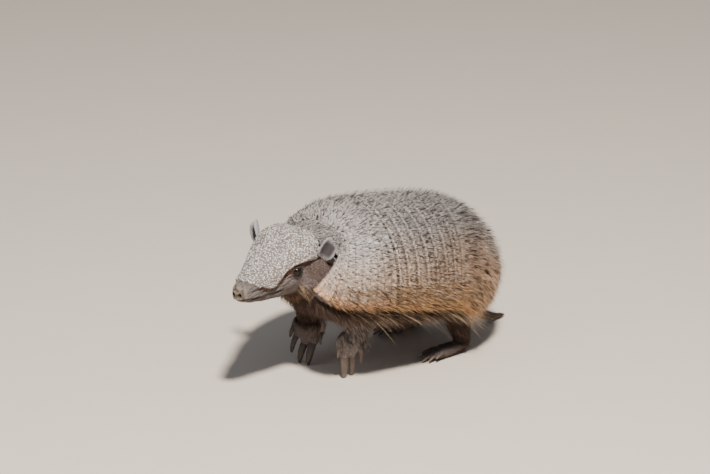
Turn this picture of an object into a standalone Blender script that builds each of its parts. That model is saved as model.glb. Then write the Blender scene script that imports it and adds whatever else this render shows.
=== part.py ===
"""Large hairy armadillo in mid stride: the solids of its body, one object for each named part.

Blender 4.5. Sizes are in millimetres and MM turns them into Blender's metres. The animal faces -Y,
its left side is +X and the floor is z = 0. Lengths are laid out from a point under the ears, and
MIDDLE then moves the whole animal so that its bounding box is centred on the origin. The outer
surfaces lie at the tips of the coat.
"""

import math

import bmesh
import bpy
from mathutils import Matrix, Vector

MM = 0.001
MIDDLE = 52.73                # y of the middle of the animal's length
GAP = 0.3                     # clear space between neighbouring solids
SIDES = (("left", 1), ("right", -1))

# Carapace: arched sections in a row. The last ones fan round the rump.
# Each row: y and z of the middle of the chord, lean of the arch in degrees, half width, arch height.
CARAPACE = (
    (-38, 103, 43, 49, 59),
    (-26, 91, 30, 63, 73),
    (4, 83, 16, 75, 80),
    (35, 77, 8, 77, 84),
    (72, 69, 9, 77, 88),
    (107, 61, 14, 73, 89),
    (116, 57, 36, 69, 86),
    (121, 55, 64, 66, 73),
    (125, 52, 97, 58, 43),
)
ARCH_POWER = 0.9              # below 1 squares the arch, so the flanks stand steeper
SHELL_THICKNESS = 4.6
TRUNK_CLEARANCE = 1.1         # from the plates' inner faces to the flesh
SHOULDER_END = 3.0            # section numbers in CARAPACE
PELVIS_START = 5.0
BAND_COUNT = 7
REAR_EDGE = 8.0
SECTION_GAP = 0.0085          # GAP as a share of the spacing of the sections
ARCH_SEGMENTS = 20
NECK_NOTCH = 8                # how far the front edge is drawn back beside the ears

# Underside of the trunk at its middle, one row for each row of CARAPACE: y, z.
BELLY = (
    (-30, 88),
    (-18, 74),
    (6, 64),
    (36, 58),
    (72, 54),
    (104, 51),
    (124, 48),
    (142, 46),
    (156, 45),
)
FLANK_TUCK = 12               # how far the belly starts inside the rim

# Head: stations along its axis from behind the ears to the nose.
# Each row: distance ahead of the ears, half width, height above the axis, depth below it.
HEAD = (
    (-13, 20, 9, 17),
    (-6, 28, 17, 28),
    (6, 31, 21, 34),
    (18, 30, 20, 36),
    (30, 26, 16.5, 34),
    (45, 20.5, 12.5, 28),
    (60, 15.5, 9.5, 22),
    (75, 11.5, 7, 17),
    (87, 9.2, 4.6, 13),
    (92, 6, 1.6, 8),
)
HEAD_PIVOT = (0, -29, 131)    # middle of the line between the ears
HEAD_YAW = 19                 # towards the left
HEAD_PITCH = 15               # nose down
HEAD_SIDES = 16
HEAD_RINGS = 14

HEAD_SHIELD_REAR = -9
HEAD_SHIELD_FRONT = 69
HEAD_SHIELD_REAR_BOW = 9
HEAD_SHIELD_THICKNESS = 3.2
HEAD_SHIELD_PROUD = 1.0
HEAD_SHIELD_REACH = ((86,), (82,), (79,), (106,), (72,))   # degrees each side, rear to tip

NUCHAL_REACH = 0.40           # half the neck plate's width, as a share of the shell's arch
NUCHAL_ANGLE = 38             # the same at the head, in degrees from the crown
NUCHAL_THICKNESS = 3.0
NUCHAL_CLEARANCE = 1.2

EYE_AHEAD = 28
EYE_RADIUS = 4.6
EAR_LENGTH = 22
EAR_WIDTH = 13

NECK = ((-46, 111, 25), (-36, 113, 31), (-24, 112, 37), (-8, 110, 42))

# Legs: rows of x, y, z and radius, from inside the trunk to the wrist or ankle.
FORELEG_LEFT = (
    (36, 3, 88, 17),
    (40, 8, 73, 17),
    (40, 14, 59, 14),
    (36, 16, 47, 11.5),
    (34, 16, 40, 9),
)
FORELEG_RIGHT = (
    (-36, 5, 88, 17),
    (-37, 8, 72, 16),
    (-34, 11, 57, 14),
    (-31, 12, 44, 12),
    (-30, 11, 36, 9.5),
)
HINDLEG_LEFT = (
    (30, 119, 65, 12),
    (35, 127, 51, 14),
    (39, 133, 34, 12.5),
    (38, 138, 18, 9),
    (38, 139, 8, 7.5),
)

# Feet: rows of x, y, z and half width, from the wrist or heel to the toes. The forefeet stand
# nearly upright on their claws, the hind soles lie flat.
FOREFOOT_LEFT = ((34, 15, 52, 9), (33, 16, 44, 13.5), (31, 17, 35, 15.5), (28.5, 18, 25, 13.5))
FOREFOOT_RIGHT = ((-30, 12, 48, 10), (-30, 10, 40, 14), (-29.5, 8, 31, 15.5), (-29, 6, 21, 13))
HINDFOOT_LEFT = ((38, 145, 6.5, 6), (38, 136, 6.5, 8), (38.5, 120, 5.5, 9.5), (39.5, 101, 4, 8.5))
HIND_STRIDE = 3               # how far the right hind leg stands behind the left one
FOOT_FLAT = 0.62

# Digits from the inner one outwards: offset across the foot, lift, claw length, claw width, splay.
FORE_DIGITS = (
    (-17.5, 9, 14, 4.2, -0.08),
    (-10.2, 0, 30, 8.2, 0.0),
    (-1, -3, 27, 7.6, 0.04),
    (9.5, 2, 22, 6.0, 0.12),
    (14.5, 8, 14, 4.6, 0.2),
)
HIND_DIGITS = (
    (-7.5, 3, 9, 3.4, -0.2),
    (-4, 0, 12, 4.2, -0.08),
    (0.5, -1, 13, 4.4, 0.02),
    (5, 1, 11, 4.0, 0.12),
    (8, 4, 8, 3.2, 0.25),
)

TAIL = (
    (0, 146, 52, 10),
    (0, 160, 40, 9),
    (-1, 176, 25, 7),
    (-3, 194, 12.5, 5),
    (-6, 210, 3.6, 3.6),
    (-7, 218, 1.5, 2.0),
)


def along(rows, place):
    """The row at a fractional place in rows, on a smooth curve through them."""
    last = len(rows) - 1
    place = min(max(place, 0.0), float(last))
    index = min(int(place), last - 1)
    part = place - index
    before = rows[max(index - 1, 0)]
    start = rows[index]
    end = rows[index + 1]
    after = rows[min(index + 2, last)]
    values = []
    for a, b, c, d in zip(before, start, end, after):
        bend = (2 * a - 5 * b + 4 * c - d) * part + (3 * b - a - 3 * c + d) * part * part
        values.append(0.5 * (2 * b + (c - a) * part + bend * part))
    return values


def share(value, power):
    """value to a power, with its sign kept."""
    return math.copysign(abs(value) ** power, value)


def carapace(section, turn, depth):
    """A point of the shell: turn runs from -1 at the right rim to 1 at the left, depth goes inwards."""
    y, z, lean, half_width, height = along(CARAPACE, section)
    angle = turn * math.pi / 2
    across = (half_width - depth) * share(math.sin(angle), ARCH_POWER)
    rise = share(math.cos(angle), ARCH_POWER)
    up = (height - depth) * rise
    lean = math.radians(lean)
    y += NECK_NOTCH * max(1 - section, 0) * math.sin(math.pi * abs(turn) ** 1.2)
    # The first arches lean back along the surface, so there depth also goes rearwards.
    y += 2 * depth * rise * math.sin(lean) * max(1 - section / 2, 0)
    return Vector((across, y + up * math.sin(lean), z + up * math.cos(lean)))


def underside(section, turn):
    """A point of the belly, which hangs between the two rims like a hammock."""
    y, z, _, half_width, _ = along(CARAPACE, section)
    y_middle, z_middle = along(BELLY, section)
    angle = turn * math.pi / 2
    towards_middle = math.cos(angle)
    across = (half_width - FLANK_TUCK) * math.sin(angle)
    down = z - 2 + (z_middle - z + 2) * towards_middle ** 0.7
    return Vector((across, y + (y_middle - y) * towards_middle, down))


HEAD_TURN = Matrix.Rotation(math.radians(HEAD_YAW), 3, "Z")
HEAD_FRAME = HEAD_TURN @ Matrix.Rotation(math.radians(HEAD_PITCH), 3, "X")


def in_head(across, ahead, up):
    """A point given in the head's own directions, as a place in the world."""
    return Vector(HEAD_PIVOT) + HEAD_FRAME @ Vector((across, -ahead, up))


def head_section(ahead):
    """Half width, top and bottom of the head at a distance ahead of the ears."""
    ahead = min(max(ahead, HEAD[0][0]), HEAD[-1][0])
    index = 0
    while HEAD[index + 1][0] < ahead:
        index += 1
    part = (ahead - HEAD[index][0]) / (HEAD[index + 1][0] - HEAD[index][0])
    return along(HEAD, index + part)[1:]


def head_skin(ahead, angle, proud=0.0):
    """A point of the head's outline: angle is 0 at the crown and grows towards the left."""
    half_width, top, bottom = head_section(ahead)
    reach = top if math.cos(angle) > 0 else bottom
    across = (half_width + proud) * share(math.sin(angle), 0.85)
    up = (reach + proud) * share(math.cos(angle), 0.85)
    return in_head(across, ahead, up)


def shield_rear(angle):
    """Distance ahead of the ears of the head shield's rear edge, at an angle from the crown in degrees."""
    return HEAD_SHIELD_REAR + HEAD_SHIELD_REAR_BOW * (angle / 90) ** 2


def material(name, colour, roughness):
    made = bpy.data.materials.new(name)
    made.use_nodes = True
    shader = made.node_tree.nodes["Principled BSDF"]
    shader.inputs["Base Color"].default_value = (*colour, 1)
    shader.inputs["Roughness"].default_value = roughness
    shader.inputs["Metallic"].default_value = 0.0
    return made


def finish(name, bm, colour, roughness=0.8):
    """Makes the shape an object in metres. What would pass through the floor is cut off flat there."""
    if min(vert.co.z for vert in bm.verts) < 0:
        everything = bm.verts[:] + bm.edges[:] + bm.faces[:]
        cut = bmesh.ops.bisect_plane(bm, geom=everything, plane_no=(0, 0, 1), clear_inner=True)
        rim = [item for item in cut["geom_cut"] if isinstance(item, bmesh.types.BMEdge)]
        bmesh.ops.edgeloop_fill(bm, edges=rim)
    for vert in bm.verts:
        vert.co.y -= MIDDLE
        vert.co *= MM
    bmesh.ops.triangulate(bm, faces=bm.faces)
    bmesh.ops.recalc_face_normals(bm, faces=bm.faces)
    if bm.calc_volume(signed=True) < 0:
        bmesh.ops.reverse_faces(bm, faces=bm.faces)
    mesh = bpy.data.meshes.new(name)
    bm.to_mesh(mesh)
    bm.free()
    mesh.shade_smooth()
    mesh.materials.append(material(name, colour, roughness))
    made = bpy.data.objects.new(name, mesh)
    bpy.context.scene.collection.objects.link(made)
    return made


def slab(name, u_span, v_span, segments, place, colour):
    """A curved plate: a flat grid given thickness, laid on a surface by place(u, v, share of depth)."""
    bm = bmesh.new()
    bmesh.ops.create_grid(bm, x_segments=segments[0], y_segments=segments[1], size=0.5)
    grown = bmesh.ops.extrude_face_region(bm, geom=bm.faces[:])["geom"]
    bmesh.ops.translate(bm, verts=[g for g in grown if isinstance(g, bmesh.types.BMVert)], vec=(0, 0, 1))
    for vert in bm.verts:
        u = u_span[0] + (u_span[1] - u_span[0]) * (vert.co.x + 0.5)
        v = v_span[0] + (v_span[1] - v_span[0]) * (vert.co.y + 0.5)
        vert.co = place(u, v, vert.co.z)
    return finish(name, bm, colour)


def ball(name, rings, sides, place, colour, roughness=0.8):
    """A closed round body: a sphere whose every point is moved by place(share of length, angle)."""
    bm = bmesh.new()
    bmesh.ops.create_uvsphere(bm, u_segments=sides, v_segments=rings, radius=1)
    for vert in bm.verts:
        polar = math.acos(min(max(vert.co.z, -1), 1))
        vert.co = place(polar / math.pi, math.atan2(vert.co.y, vert.co.x))
    return finish(name, bm, colour, roughness)


def limb(name, rows, colour, rings=10, sides=12, flat=1.0, side=(1, 0, 0), blunt=6):
    """A bent round limb through rows of x, y, z and radius. flat thins it across side."""
    def place(share_of_length, angle):
        at = share_of_length * (len(rows) - 1)
        here = along(rows, at)
        ahead = Vector(along(rows, at + 0.05)[:3]) - Vector(along(rows, at - 0.05)[:3])
        ahead.normalize()
        wide = (Vector(side) - ahead * ahead.dot(Vector(side))).normalized()
        thick = ahead.cross(wide)
        rounding = math.sqrt(max(1 - abs(2 * share_of_length - 1) ** blunt, 0))
        wide *= here[3] * rounding * math.cos(angle)
        thick *= here[3] * rounding * flat * math.sin(angle)
        return Vector(here[:3]) + wide + thick
    return ball(name, rings, sides, place, colour)


def cut_clear(body, *others, gap=GAP):
    """Cuts the others out of body, each grown by the gap, so that no two solids touch."""
    for other in others:
        mesh = other.data.copy()
        cutter = bpy.data.objects.new(other.name + "_clearance", mesh)
        bpy.context.scene.collection.objects.link(cutter)
        normals = [vert.normal.copy() for vert in mesh.vertices]
        for vert, normal in zip(mesh.vertices, normals):
            vert.co += normal * (gap * MM)
        cutter.hide_render = True
        cutter.hide_viewport = True
        cutter.display_type = "WIRE"
        cut = body.modifiers.new("clear of " + other.name, "BOOLEAN")
        cut.operation = "DIFFERENCE"
        cut.object = cutter


SHELL_GREY = (0.30, 0.27, 0.24)
BAND_BROWN = (0.29, 0.23, 0.18)
HIDE_BROWN = (0.16, 0.09, 0.06)
LEG_DARK = (0.07, 0.05, 0.04)
SNOUT_GREY = (0.28, 0.23, 0.21)
EAR_GREY = (0.27, 0.26, 0.28)
CLAW_TAN = (0.42, 0.34, 0.27)
EYE_BLACK = (0.02, 0.02, 0.02)


def make_shell():
    """Shoulder shield, movable bands and pelvic shield, parted by thin cuts along the sections."""
    def place(section, turn, depth):
        return carapace(section, turn, depth * SHELL_THICKNESS)

    def piece(name, start, end, count, colour):
        spans = (start + SECTION_GAP / 2, end - SECTION_GAP / 2)
        return slab(name, spans, (-1, 1), (count, ARCH_SEGMENTS), place, colour)

    piece("shoulder_shield", 0, SHOULDER_END, 7, SHELL_GREY)
    pitch = (PELVIS_START - SHOULDER_END) / BAND_COUNT
    for number in range(BAND_COUNT):
        start = SHOULDER_END + number * pitch
        piece(f"band_{number + 1}", start, start + pitch, 1, BAND_BROWN)
    piece("pelvic_shield", PELVIS_START, REAR_EDGE, 8, SHELL_GREY)


def make_trunk():
    """The flesh under the shell: its upper face follows the plates, its lower one is the belly."""
    def place(section, turn, depth):
        if depth < 0.5:
            return carapace(section, turn, SHELL_THICKNESS + TRUNK_CLEARANCE)
        return underside(section, turn)
    made = slab("trunk", (0.5, REAR_EDGE - 0.08), (-0.985, 0.985), (13, 14), place, HIDE_BROWN)
    cut_clear(made, bpy.data.objects["shoulder_shield"], bpy.data.objects["pelvic_shield"])
    return made


def make_head(trunk):
    """Skull and muzzle, the shield on top of them, and the eyes sunk into the cheeks."""
    length = HEAD[-1][0] - HEAD[0][0]

    def place(share_of_length, angle):
        rounding = math.sqrt(max(1 - abs(2 * share_of_length - 1) ** 14, 0))
        ahead = HEAD[0][0] + share_of_length * length
        middle = in_head(0, ahead, -2)
        return middle.lerp(head_skin(ahead, angle), rounding)

    head = ball("head", HEAD_RINGS, HEAD_SIDES, place, SNOUT_GREY)

    def lay_shield(part, turn, depth):
        # The plate narrows from the ears to a blunt tip above the muzzle, with a rounded rear edge.
        ahead = HEAD_SHIELD_REAR + (HEAD_SHIELD_FRONT - HEAD_SHIELD_REAR) * part
        reach = math.radians(along(HEAD_SHIELD_REACH, part * (len(HEAD_SHIELD_REACH) - 1))[0])
        ahead += (1 - part) * (shield_rear(math.degrees(turn * reach)) - HEAD_SHIELD_REAR)
        ahead -= 5 * part ** 3 * turn ** 2
        proud = HEAD_SHIELD_PROUD - depth * HEAD_SHIELD_THICKNESS
        return head_skin(ahead, turn * reach, proud)

    shield = slab("head_shield", (0, 1), (-1, 1), (9, 12), lay_shield, SHELL_GREY)
    cut_clear(head, shield, trunk, gap=0.6)
    for side, sign in SIDES:
        half_width, top, bottom = head_section(EYE_AHEAD)
        centre = in_head(sign * (half_width - 3.4), EYE_AHEAD, -4.5)
        eye = ball(
            "eye_" + side,
            6,
            8,
            lambda part, angle: centre + EYE_RADIUS * Vector((
                math.sin(part * math.pi) * math.cos(angle),
                math.sin(part * math.pi) * math.sin(angle),
                math.cos(part * math.pi),
            )),
            EYE_BLACK,
            0.1,
        )
        cut_clear(head, eye)
        cut_clear(eye, shield)
    return head, shield


def make_ears(trunk, head, shield, shoulder):
    """Cupped leaves that open forwards and outwards, on a narrow root."""
    for side, sign in SIDES:
        root = in_head(sign * 35, 3, -6)
        tip_direction = (HEAD_TURN @ Vector((sign * 0.34, 0.14, 0.93))).normalized()
        opening = (HEAD_FRAME @ Vector((sign * 0.75, -0.65, -0.10))).normalized()
        across = tip_direction.cross(opening).normalized()

        def leaf(part, turn, depth):
            swell = (0.60 + 0.55 * math.sin(math.pi * part ** 0.8)) * (1 - 0.7 * part ** 6)
            width = EAR_WIDTH * 0.5 * swell
            curl = turn * math.radians(78)
            radius = width / 1.2
            out = opening * (radius * (1 - math.cos(curl)) - 1.7 * depth * (1 - 0.4 * part))
            sideways = across * (radius * math.sin(curl) * 1.2)
            return root + tip_direction * (EAR_LENGTH * part) + sideways + out

        ear = slab("ear_" + side, (0, 1), (-1, 1), (6, 8), leaf, EAR_GREY)
        cut_clear(ear, head, shield, trunk, shoulder)


def make_neck(trunk, head, shield, shoulder):
    """A short thick neck, and the plate over it between the head shield and the shoulder shield."""
    def lay_plate(part, turn, depth):
        rear = carapace(0, turn * NUCHAL_REACH, 1 + depth * NUCHAL_THICKNESS)
        angle = turn * NUCHAL_ANGLE
        behind = shield_rear(angle) - NUCHAL_CLEARANCE
        front = head_skin(behind, math.radians(angle), 0.5 - depth * NUCHAL_THICKNESS)
        return rear.lerp(front, 0.06 + 0.94 * part)

    plate = slab("nuchal_band", (0, 1), (-1, 1), (2, 10), lay_plate, BAND_BROWN)
    rows = [(0, y, z, radius) for y, z, radius in NECK]
    neck = limb("neck", rows, HIDE_BROWN, rings=7, sides=12, flat=0.76)
    ears = [bpy.data.objects["ear_" + side] for side, _ in SIDES]
    cut_clear(neck, trunk, head, shield, shoulder, plate, *ears)


def make_claw(name, root, tip, width, bow, broad, foot):
    """A curved claw from root to tip. bow is how far its middle stands out of the straight line."""
    middle = (root + tip) / 2 + bow
    rows = (
        (*(root + (root - middle) * 0.35), width * 0.42),
        (*root, width * 0.5),
        (*middle, width * 0.48),
        (*tip, width * 0.32),
    )
    claw = limb(name, rows, CLAW_TAN, rings=5, sides=6, flat=0.72, side=broad, blunt=6)
    cut_clear(claw, foot)


def make_leg(trunk, name, leg_rows, foot_rows, knuckle, broad, pointing, bow, digits):
    """A tapered leg, its foot, and the five claws spread along the broad direction of the foot."""
    leg = limb(name.replace("foot", "leg"), leg_rows, LEG_DARK, rings=8, sides=10)
    if name.startswith("hind"):
        cut_clear(trunk, leg, gap=0.4)
    else:
        cut_clear(leg, trunk)
    foot = limb(name, foot_rows, LEG_DARK, rings=8, sides=10, flat=FOOT_FLAT, side=broad)
    cut_clear(foot, leg)
    broad = Vector(broad).normalized()
    pointing = Vector(pointing).normalized()
    for number, (offset, lift, length, width, splay) in enumerate(digits):
        root = Vector(knuckle) + broad * offset - pointing * lift
        tip = root + (pointing + broad * splay).normalized() * length
        tip.z = max(tip.z, -1.0)
        make_claw(f"{name}_claw_{number + 1}", root, tip, width, Vector(bow), broad, foot)


def mirrored(rows):
    """The same limb on the right side, set back by the stride."""
    return tuple((-x, y + HIND_STRIDE, z, radius) for x, y, z, radius in rows)


def make_legs(trunk):
    make_leg(
        trunk,
        "forefoot_left",
        FORELEG_LEFT,
        FOREFOOT_LEFT,
        knuckle=(28.5, 18, 28),
        broad=(-0.15, 0.98, 0),
        pointing=(-0.10, 0.06, -1),
        bow=(1.6, -0.6, 0),
        digits=FORE_DIGITS,
    )
    make_leg(
        trunk,
        "forefoot_right",
        FORELEG_RIGHT,
        FOREFOOT_RIGHT,
        knuckle=(-29, 6, 25),
        broad=(-0.95, -0.30, 0),
        pointing=(0.02, -0.28, -1),
        bow=(0.4, -1.6, 0),
        digits=FORE_DIGITS,
    )
    make_leg(
        trunk,
        "hindfoot_left",
        HINDLEG_LEFT,
        HINDFOOT_LEFT,
        knuckle=(39.5, 103, 5.5),
        broad=(1, 0.05, 0),
        pointing=(0.06, -1, -0.32),
        bow=(0, 0, 1.0),
        digits=HIND_DIGITS,
    )
    make_leg(
        trunk,
        "hindfoot_right",
        mirrored(HINDLEG_LEFT),
        mirrored(HINDFOOT_LEFT),
        knuckle=(-39.5, 103 + HIND_STRIDE, 5.5),
        broad=(-1, 0.05, 0),
        pointing=(-0.06, -1, -0.32),
        bow=(0, 0, 1.0),
        digits=HIND_DIGITS,
    )


def make_tail(trunk):
    tail = limb("tail", TAIL, HIDE_BROWN, rings=10, sides=10, blunt=12)
    cut_clear(tail, trunk, bpy.data.objects["pelvic_shield"])


def main():
    for item in list(bpy.data.objects):
        bpy.data.objects.remove(item)
    make_shell()
    trunk = make_trunk()
    head, shield = make_head(trunk)
    shoulder = bpy.data.objects["shoulder_shield"]
    make_ears(trunk, head, shield, shoulder)
    make_neck(trunk, head, shield, shoulder)
    make_legs(trunk)
    make_tail(trunk)


main()
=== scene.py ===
"""Big hairy armadillo: its skin, horny plates, claws, eyes and bristles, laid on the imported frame.

Sizes are in millimetres unless a name says otherwise, laid out from a point under the ears with the
head towards -Y, the left side at +X and the floor at z = 0. world() turns such a place into metres in
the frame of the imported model.
"""

import math
import random

import bmesh
import bpy
import numpy as np
from bpy.props import FloatProperty, FloatVectorProperty, IntProperty, PointerProperty
from bpy.types import Operator, Panel, PropertyGroup
from mathutils import Matrix, Vector, noise
from mathutils.bvhtree import BVHTree

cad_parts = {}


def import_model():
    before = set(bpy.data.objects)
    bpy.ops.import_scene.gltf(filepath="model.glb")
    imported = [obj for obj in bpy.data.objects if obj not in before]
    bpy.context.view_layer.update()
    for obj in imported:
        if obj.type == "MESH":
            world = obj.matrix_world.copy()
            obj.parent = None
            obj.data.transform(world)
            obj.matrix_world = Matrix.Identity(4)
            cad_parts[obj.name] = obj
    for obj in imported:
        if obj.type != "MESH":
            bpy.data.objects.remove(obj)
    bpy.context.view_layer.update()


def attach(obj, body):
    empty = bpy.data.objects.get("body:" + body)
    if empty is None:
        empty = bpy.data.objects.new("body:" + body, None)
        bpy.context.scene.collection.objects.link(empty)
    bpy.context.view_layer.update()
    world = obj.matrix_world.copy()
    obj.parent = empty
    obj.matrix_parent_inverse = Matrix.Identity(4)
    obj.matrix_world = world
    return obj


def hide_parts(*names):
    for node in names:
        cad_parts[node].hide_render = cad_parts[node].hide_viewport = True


bl_info = {
    "name": "Big Hairy Armadillo",
    "version": (1, 0, 0),
    "blender": (4, 5, 0),
    "location": "View3D > Sidebar > Armadillo",
    "description": "Skin, horny plates, claws, eyes and bristles of an armadillo on its packed frame",
    "category": "Add Mesh",
}

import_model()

MM = 0.001
MIDDLE = 52.73                # y of the middle of the animal's length
SIDES = (("left", 1), ("right", -1))
FAR = 99.0                    # further than any distance that is compared with it

# Carapace: y and z of the middle of each arch's chord, its lean in degrees, half width, height.
CARAPACE = (
    (-38, 103, 43, 49, 59),
    (-26, 91, 30, 63, 73),
    (4, 83, 16, 75, 80),
    (35, 77, 8, 77, 84),
    (72, 69, 9, 77, 88),
    (107, 61, 14, 73, 89),
    (116, 57, 36, 69, 86),
    (121, 55, 64, 66, 73),
    (125, 52, 97, 58, 43),
)
ARCH_POWER = 0.9
SHOULDER_END = 3.0            # section numbers in CARAPACE
PELVIS_START = 5.0
BAND_COUNT = 7
REAR_EDGE = 8.0
NECK_NOTCH = 8
PLATE_THICKNESS = 4.6
FLESH_CLEARANCE = 1.6

BELLY = (
    (-30, 88),
    (-18, 74),
    (6, 64),
    (36, 58),
    (72, 54),
    (104, 51),
    (124, 48),
    (142, 46),
    (156, 45),
)
FLANK_TUCK = 12

# Head: distance ahead of the ears, half width, height above the axis, depth below it.
HEAD = (
    (-13, 20, 9, 17),
    (-6, 28, 17, 28),
    (6, 31, 21, 34),
    (18, 30, 20, 36),
    (30, 26, 16.5, 34),
    (45, 20.5, 12.5, 28),
    (60, 15.5, 9.5, 22),
    (75, 11.3, 8.6, 15.0),
    (85, 8.8, 7.2, 10.0),
    (90.5, 5.4, 4.2, 6.2),
)
HEAD_PIVOT = (0, -29, 131)
HEAD_YAW = 19
HEAD_PITCH = 15
HEAD_SHIELD_REAR = -9
HEAD_SHIELD_FRONT = 76
HEAD_SHIELD_REAR_BOW = 9
HEAD_SHIELD_REACH = ((96,), (89,), (83,), (105,), (86,))
NUCHAL_REACH = 0.62
NUCHAL_ANGLE = 72

EYE_AHEAD = 28
EYE_UP = -4.5
EYE_SUNK = 3.6
EYE_RADIUS = 5.3
EAR_LENGTH = 20.5
EAR_WIDTH = 16.5

NECK = ((-46, 111, 25), (-36, 113, 31), (-24, 112, 37), (-8, 110, 42))
FORELEG_LEFT = (
    (36, 3, 88, 17),
    (40, 8, 73, 17),
    (40, 14, 59, 14),
    (36, 16, 47, 11.5),
    (34, 16, 40, 9),
)
FORELEG_RIGHT = (
    (-36, 5, 88, 17),
    (-37, 8, 72, 16),
    (-34, 11, 57, 14),
    (-31, 12, 44, 12),
    (-30, 11, 36, 9.5),
)
HINDLEG_LEFT = (
    (30, 119, 65, 12),
    (35, 127, 51, 14),
    (39, 133, 34, 12.5),
    (38, 138, 18, 9),
    (38, 139, 8, 7.5),
)
FOREFOOT_LEFT = ((34, 15, 52, 9), (33, 16, 44, 13.5), (31, 17, 35, 15.5), (28.5, 18, 25, 13.5))
FOREFOOT_RIGHT = ((-30, 12, 48, 10), (-30, 10, 40, 14), (-29.5, 8, 31, 15.5), (-29, 6, 21, 13))
HINDFOOT_LEFT = ((38, 145, 6.5, 6), (38, 136, 6.5, 8), (38.5, 120, 5.5, 9.5), (39.5, 101, 4, 8.5))
HIND_STRIDE = 3
FOOT_FLAT = 0.62

# Digits from the inner one outwards: offset across the foot, lift, claw length, claw width, splay.
FORE_DIGITS = (
    (-17.5, 9, 14, 4.2, -0.08),
    (-10.2, 0, 30, 8.2, 0.0),
    (-1, -3, 27, 7.6, 0.04),
    (9.5, 2, 22, 6.0, 0.12),
    (14.5, 8, 14, 4.6, 0.2),
)
HIND_DIGITS = (
    (-7.5, 3, 9, 3.4, -0.2),
    (-4, 0, 12, 4.2, -0.08),
    (0.5, -1, 13, 4.4, 0.02),
    (5, 1, 11, 4.0, 0.12),
    (8, 4, 8, 3.2, 0.25),
)

TAIL = (
    (0, 146, 52, 10),
    (0, 160, 40, 9),
    (-1, 176, 24.5, 7.6),
    (-3, 194, 12.5, 5.4),
    (-6, 210, 5.2, 3.8),
    (-8, 224, 2.6, 1.9),
)


# ---------------------------------------------------------------- shapes of the body

def world(point):
    """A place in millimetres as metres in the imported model's frame."""
    return Vector((point[0], point[1] - MIDDLE, point[2])) * MM


def along(rows, place):
    """The row at a fractional place in rows, on a smooth curve through them."""
    last = len(rows) - 1
    place = min(max(place, 0.0), float(last))
    index = min(int(place), last - 1)
    part = place - index
    before = rows[max(index - 1, 0)]
    start = rows[index]
    end = rows[index + 1]
    after = rows[min(index + 2, last)]
    values = []
    for a, b, c, d in zip(before, start, end, after):
        bend = (2 * a - 5 * b + 4 * c - d) * part + (3 * b - a - 3 * c + d) * part * part
        values.append(0.5 * (2 * b + (c - a) * part + bend * part))
    return values


def share(value, power):
    """value to a power, with its sign kept."""
    return math.copysign(abs(value) ** power, value)


def smooth(low, high, value):
    """0 below low, 1 above high, and an even ease between them."""
    part = min(max((value - low) / (high - low), 0.0), 1.0)
    return part * part * (3 - 2 * part)


def bell(value, middle, width):
    """1 at the middle, falling to nothing on both sides of it."""
    return math.exp(-((value - middle) / width) ** 2)


def carapace(section, turn, depth):
    """A point of the shell: turn runs from -1 at the right rim to 1 at the left, depth goes inwards."""
    y, z, lean, half_width, height = along(CARAPACE, section)
    angle = turn * math.pi / 2
    across = (half_width - depth) * share(math.sin(angle), ARCH_POWER)
    rise = share(math.cos(angle), ARCH_POWER)
    up = (height - depth) * rise
    lean = math.radians(lean)
    y += NECK_NOTCH * max(1 - section, 0) * math.sin(math.pi * min(abs(turn), 1) ** 1.2)
    y += 2 * depth * rise * math.sin(lean) * max(1 - section / 2, 0)
    return Vector((across, y + up * math.sin(lean), z + up * math.cos(lean)))


def underside(section, turn):
    """A point of the belly, which hangs between the two rims like a hammock."""
    y, z, _, half_width, _ = along(CARAPACE, section)
    y_middle, z_middle = along(BELLY, section)
    angle = turn * math.pi / 2
    towards_middle = math.cos(angle)
    across = (half_width - FLANK_TUCK) * math.sin(angle)
    down = z - 2 + (z_middle - z + 2) * towards_middle ** 0.7
    return Vector((across, y + (y_middle - y) * towards_middle, down))


HEAD_TURN = Matrix.Rotation(math.radians(HEAD_YAW), 3, "Z")
HEAD_FRAME = HEAD_TURN @ Matrix.Rotation(math.radians(HEAD_PITCH), 3, "X")
HEAD_FORWARDS = HEAD_FRAME @ Vector((0, -1, 0))


def in_head(across, ahead, up):
    """A point given in the head's own directions, as a place in the world."""
    return Vector(HEAD_PIVOT) + HEAD_FRAME @ Vector((across, -ahead, up))


def head_place(point):
    """The reverse of in_head: across, ahead and up of a place in millimetres."""
    turned = HEAD_FRAME.transposed() @ (Vector(point) - Vector(HEAD_PIVOT))
    return turned.x, -turned.y, turned.z


def head_section(ahead):
    """Half width, top and bottom of the head at a distance ahead of the ears."""
    ahead = min(max(ahead, HEAD[0][0]), HEAD[-1][0])
    index = 0
    while HEAD[index + 1][0] < ahead:
        index += 1
    part = (ahead - HEAD[index][0]) / (HEAD[index + 1][0] - HEAD[index][0])
    return along(HEAD, index + part)[1:]


def head_skin(ahead, angle, proud=0.0):
    """A point of the head's outline: angle is 0 at the crown and grows towards the left."""
    half_width, top, bottom = head_section(ahead)
    reach = top if math.cos(angle) > 0 else bottom
    across = (half_width + proud) * share(math.sin(angle), 0.85)
    up = (reach + proud) * share(math.cos(angle), 0.85)
    return in_head(across, ahead, up)


def shield_rear(angle):
    """How far ahead of the ears the head shield's rear edge lies, at an angle in degrees from the crown."""
    return HEAD_SHIELD_REAR + HEAD_SHIELD_REAR_BOW * (angle / 90) ** 2


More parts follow.
